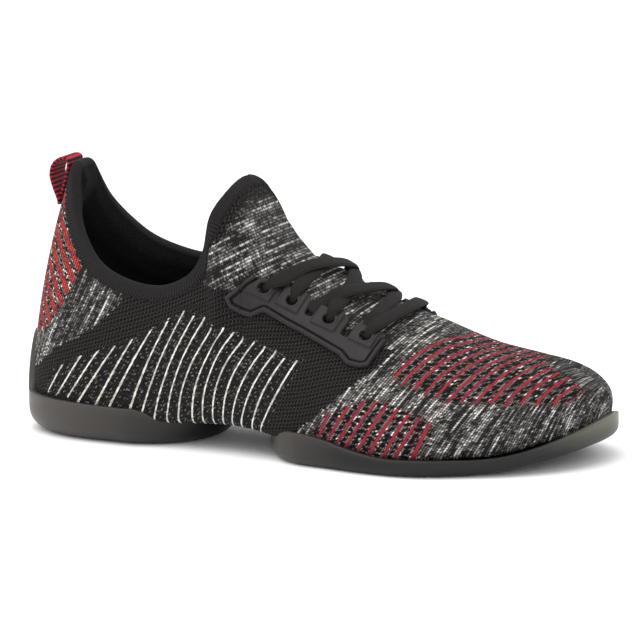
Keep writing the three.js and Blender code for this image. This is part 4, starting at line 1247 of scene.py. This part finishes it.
# The middles of the studs in a field, in rows that are offset by half a pitch
def studsWithin(field):
    pitch = sole["studPitch"]
    low, high = field.min(0), field.max(0)
    spots = np.array([
        (x, y + (row % 2) * pitch / 2)
        for row, x in enumerate(np.arange(low[0], high[0], pitch * 0.87))
        for y in np.arange(low[1], high[1], pitch)
    ])
    spots = spots[(insideOf(field, spots) > 0) & (spots[:, 0] < sole["studsTo"] * last["length"])]
    return np.concatenate([spots, springAt(spots[:, 0])[:, None]], 1)


def heelCup(ring, bed):
    onEnd = mix(sole["heelCup"] - 1, bed + 1, smooth(0, 0.6, ring[:, 4]))
    along = mix(sole["heelTab"], sole["heelCup"], smooth(0.3, 1, ring[:, 3])) - smooth(1, 5, ring[:, 3])
    return np.where(ring[:, 4] >= 0, onEnd, along)


def forefootCup(ring, bed):
    at = ring[:, 0] / last["length"]
    onEnd = mix(sole["endCup"], bed + 1, smooth(0.1, 0.7, ring[:, 4]))
    along = mix(sole["endCup"], sole["ballCup"], smooth(0.54, 0.72, at))
    along = along + (sole["toeCup"] - sole["ballCup"]) * np.clip((at - 0.83) / 0.17, 0, 1) ** 2
    return np.where(ring[:, 4] >= 0, onEnd, along)


moulded = mouldedRubber()
(heelTo, heelTip), (foreFrom, foreTip) = sole["heelEnd"], sole["forefootEnd"]
heelRing = padRing(0, stationAt(heelTo), heelTip, 14)
foreRing = padRing(stationAt(foreFrom), toeRib, foreTip, 16)
studs = [
    makePad("heelPad", "heel_sole", heelRing, sole["heelRound"], heelCup, moulded),
    makePad("forefootPad", "forefoot_sole", foreRing, sole["forefootRound"], forefootCup, moulded),
]
print("soles made")


# Repeats a part on a base's points, or along its edges when a pitch is given, with Geometry Nodes
def repeatPart(name, base, part, material, pitch=0.0):
    tree = bpy.data.node_groups.new(name, "GeometryNodeTree")
    kinds = {"Base": "Geometry", "Part": "Object", "Pitch": "Float", "Material": "Material"}
    sockets = {
        label: tree.interface.new_socket(label, in_out="INPUT", socket_type="NodeSocket" + kind)
        for label, kind in kinds.items()
    }
    tree.interface.new_socket("Geometry", in_out="OUTPUT", socket_type="NodeSocketGeometry")
    groupInput = tree.nodes.new("NodeGroupInput")
    given = {label: Wire(tree, groupInput.outputs[label]) for label in sockets}
    spots, turn = given["Base"], {}
    if pitch:
        curve = spots.feed("GeometryNodeMeshToCurve")
        spots = curve.feed("GeometryNodeResampleCurve", sockets={"Length": given["Pitch"]}, mode="LENGTH")
        ahead = {"Vector": add(tree, "GeometryNodeInputTangent")}
        turn["Rotation"] = add(tree, "FunctionNodeAlignRotationToVector", sockets=ahead, axis="X")
    shape = add(tree, "GeometryNodeObjectInfo", sockets={"Object": given["Part"]}, out="Geometry")
    placed = spots.feed("GeometryNodeInstanceOnPoints", sockets={"Instance": shape, **turn})
    real = placed.feed("GeometryNodeRealizeInstances")
    coloured = real.feed("GeometryNodeSetMaterial", sockets={"Material": given["Material"]})
    tree.links.new(coloured.socket, tree.nodes.new("NodeGroupOutput").inputs[0])
    modifier = base.modifiers.new(name, "NODES")
    modifier.node_group = tree
    for label, value in (("Part", part), ("Pitch", pitch * mm), ("Material", material)):
        modifier[sockets[label].identifier] = value
    shown = base.evaluated_get(bpy.context.evaluated_depsgraph_get())
    mesh = bpy.data.meshes.new_from_object(shown)
    base.modifiers.remove(modifier)
    for spare in (base, part):
        bpy.data.objects.remove(spare)
    piece = bpy.data.objects.new(name, mesh)
    bpy.context.collection.objects.link(piece)
    return piece


# A six-sided stud with softened edges, its foot on the plane and its root above
def makeStud():
    r, deep = sole["stud"] / 2, sole["recess"]
    rings = [(r * 0.8, 0.0), (r * 0.93, 0.12), (r, 0.3), (r * 1.04, deep + 0.2)]
    points = [(radius * x, radius * y, z) for radius, z in rings for x, y in circle(6)]
    return makeMesh("stud", np.array(points) * mm, tubeFaces(len(rings), 6), flatShade=True)


studBase = makeMesh("studBase", toFrame(np.concatenate(studs)), [])
tread = repeatPart("treadStuds", studBase, makeStud(), moulded)
dress(tread, "rubber", None)
print("tread made:", len(tread.data.polygons), "faces")

# The stitches round the collar band's foot, mm
seam = {"stitch": 1.5, "thread": 0.5, "pitch": 2.5, "inset": 0.15}


def seamLine(side):
    stations = np.linspace(0.15, tongueRib - 0.1, 110)
    heights = np.linspace(0.6, 1, 160)
    s, h = np.meshgrid(stations, heights, indexing="ij")
    grid = knitPoint(side, s, h)
    distance = rimChart(side, grid)[0]
    wanted = collarBand["width"] + 0.1
    row = np.array([np.interp(-wanted, -d, heights) for d in distance])
    middle = knitPoint(side, stations, row)
    ahead = knitPoint(side, stations + 0.05, row) - middle
    above = knitPoint(side, stations, np.minimum(row + 0.02, 1)) - middle
    return middle + unit(np.cross(ahead, above)) * -side * seam["inset"]


# One stitch: a short thread that dives at both ends
def makeStitch():
    half, steps, around = seam["stitch"] / 2, 7, 8
    x = np.linspace(-half, half, steps)[:, None]
    swell = np.sqrt(np.clip(1 - (x / half) ** 4, 0.02, 1)) * seam["thread"] / 2
    y, z = circle(around).T
    rings = place3(x, swell * y, swell * z)
    return makeMesh("stitch", rings.reshape(-1, 3) * mm, tubeFaces(steps, around))


seamPoints = [seamLine(side) for side in (outer, inner)]
seamCount = len(seamPoints[0])
seamBase = makeMesh("seamBase", toFrame(np.concatenate(seamPoints)), [])
seamBase.data.edges.add(2 * (seamCount - 1))
seamEdges = np.array([(k + i, k + i + 1) for k in (0, seamCount) for i in range(seamCount - 1)])
seamBase.data.edges.foreach_set("vertices", seamEdges.ravel())
thread = wovenTextile("sewingThread", "#141312", "#3a3634", 0.35)
stitches = repeatPart("collarStitches", seamBase, makeStitch(), thread, seam["pitch"])
dress(stitches, "knit", None)
print("seam made:", len(stitches.data.polygons), "faces")

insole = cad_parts["insole"]
footbed = wovenTextile("footbedTextile", "#050505", "#1b1a1a", 0.8)
if insole.material_slots:
    for slotPart in insole.material_slots:
        slotPart.material = footbed
else:
    insole.data.materials.append(footbed)


def makeStage():
    bpy.ops.mesh.primitive_plane_add(size=12)
    floor = bpy.context.object
    floor.name = "studioFloor"
    material, tree, shader = newMaterial("studioPaper", Roughness=0.9)
    shader.inputs["Base Color"].default_value = linear("#fbfbfb")
    floor.data.materials.append(material)
    lights = (
        ("softTop", (-0.15, -0.35, 1.3), 1.5, 16),
        ("softFront", (0.9, -1.3, 0.75), 1.2, 9),
        ("softHeel", (-1.3, -0.7, 0.7), 1.0, 6),
        ("softBack", (0.4, 1.4, 0.9), 1.4, 7),
    )
    for name, place, size, power in lights:
        data = bpy.data.lights.new(name, "AREA")
        data.size = size
        data.energy = power
        lamp = bpy.data.objects.new(name, data)
        lamp.location = place
        lamp.rotation_euler = (Vector((0, 0, 0.04)) - Vector(place)).to_track_quat("-Z", "Y").to_euler()
        bpy.context.collection.objects.link(lamp)
    world = bpy.data.worlds.new("studioSky")
    world.use_nodes = True
    world.node_tree.nodes["Background"].inputs["Color"].default_value = (1, 1, 1, 1)
    world.node_tree.nodes["Background"].inputs["Strength"].default_value = 0.75
    bpy.context.scene.world = world
    bpy.context.scene.view_settings.view_transform = "Standard"


makeStage()
print("studio made")
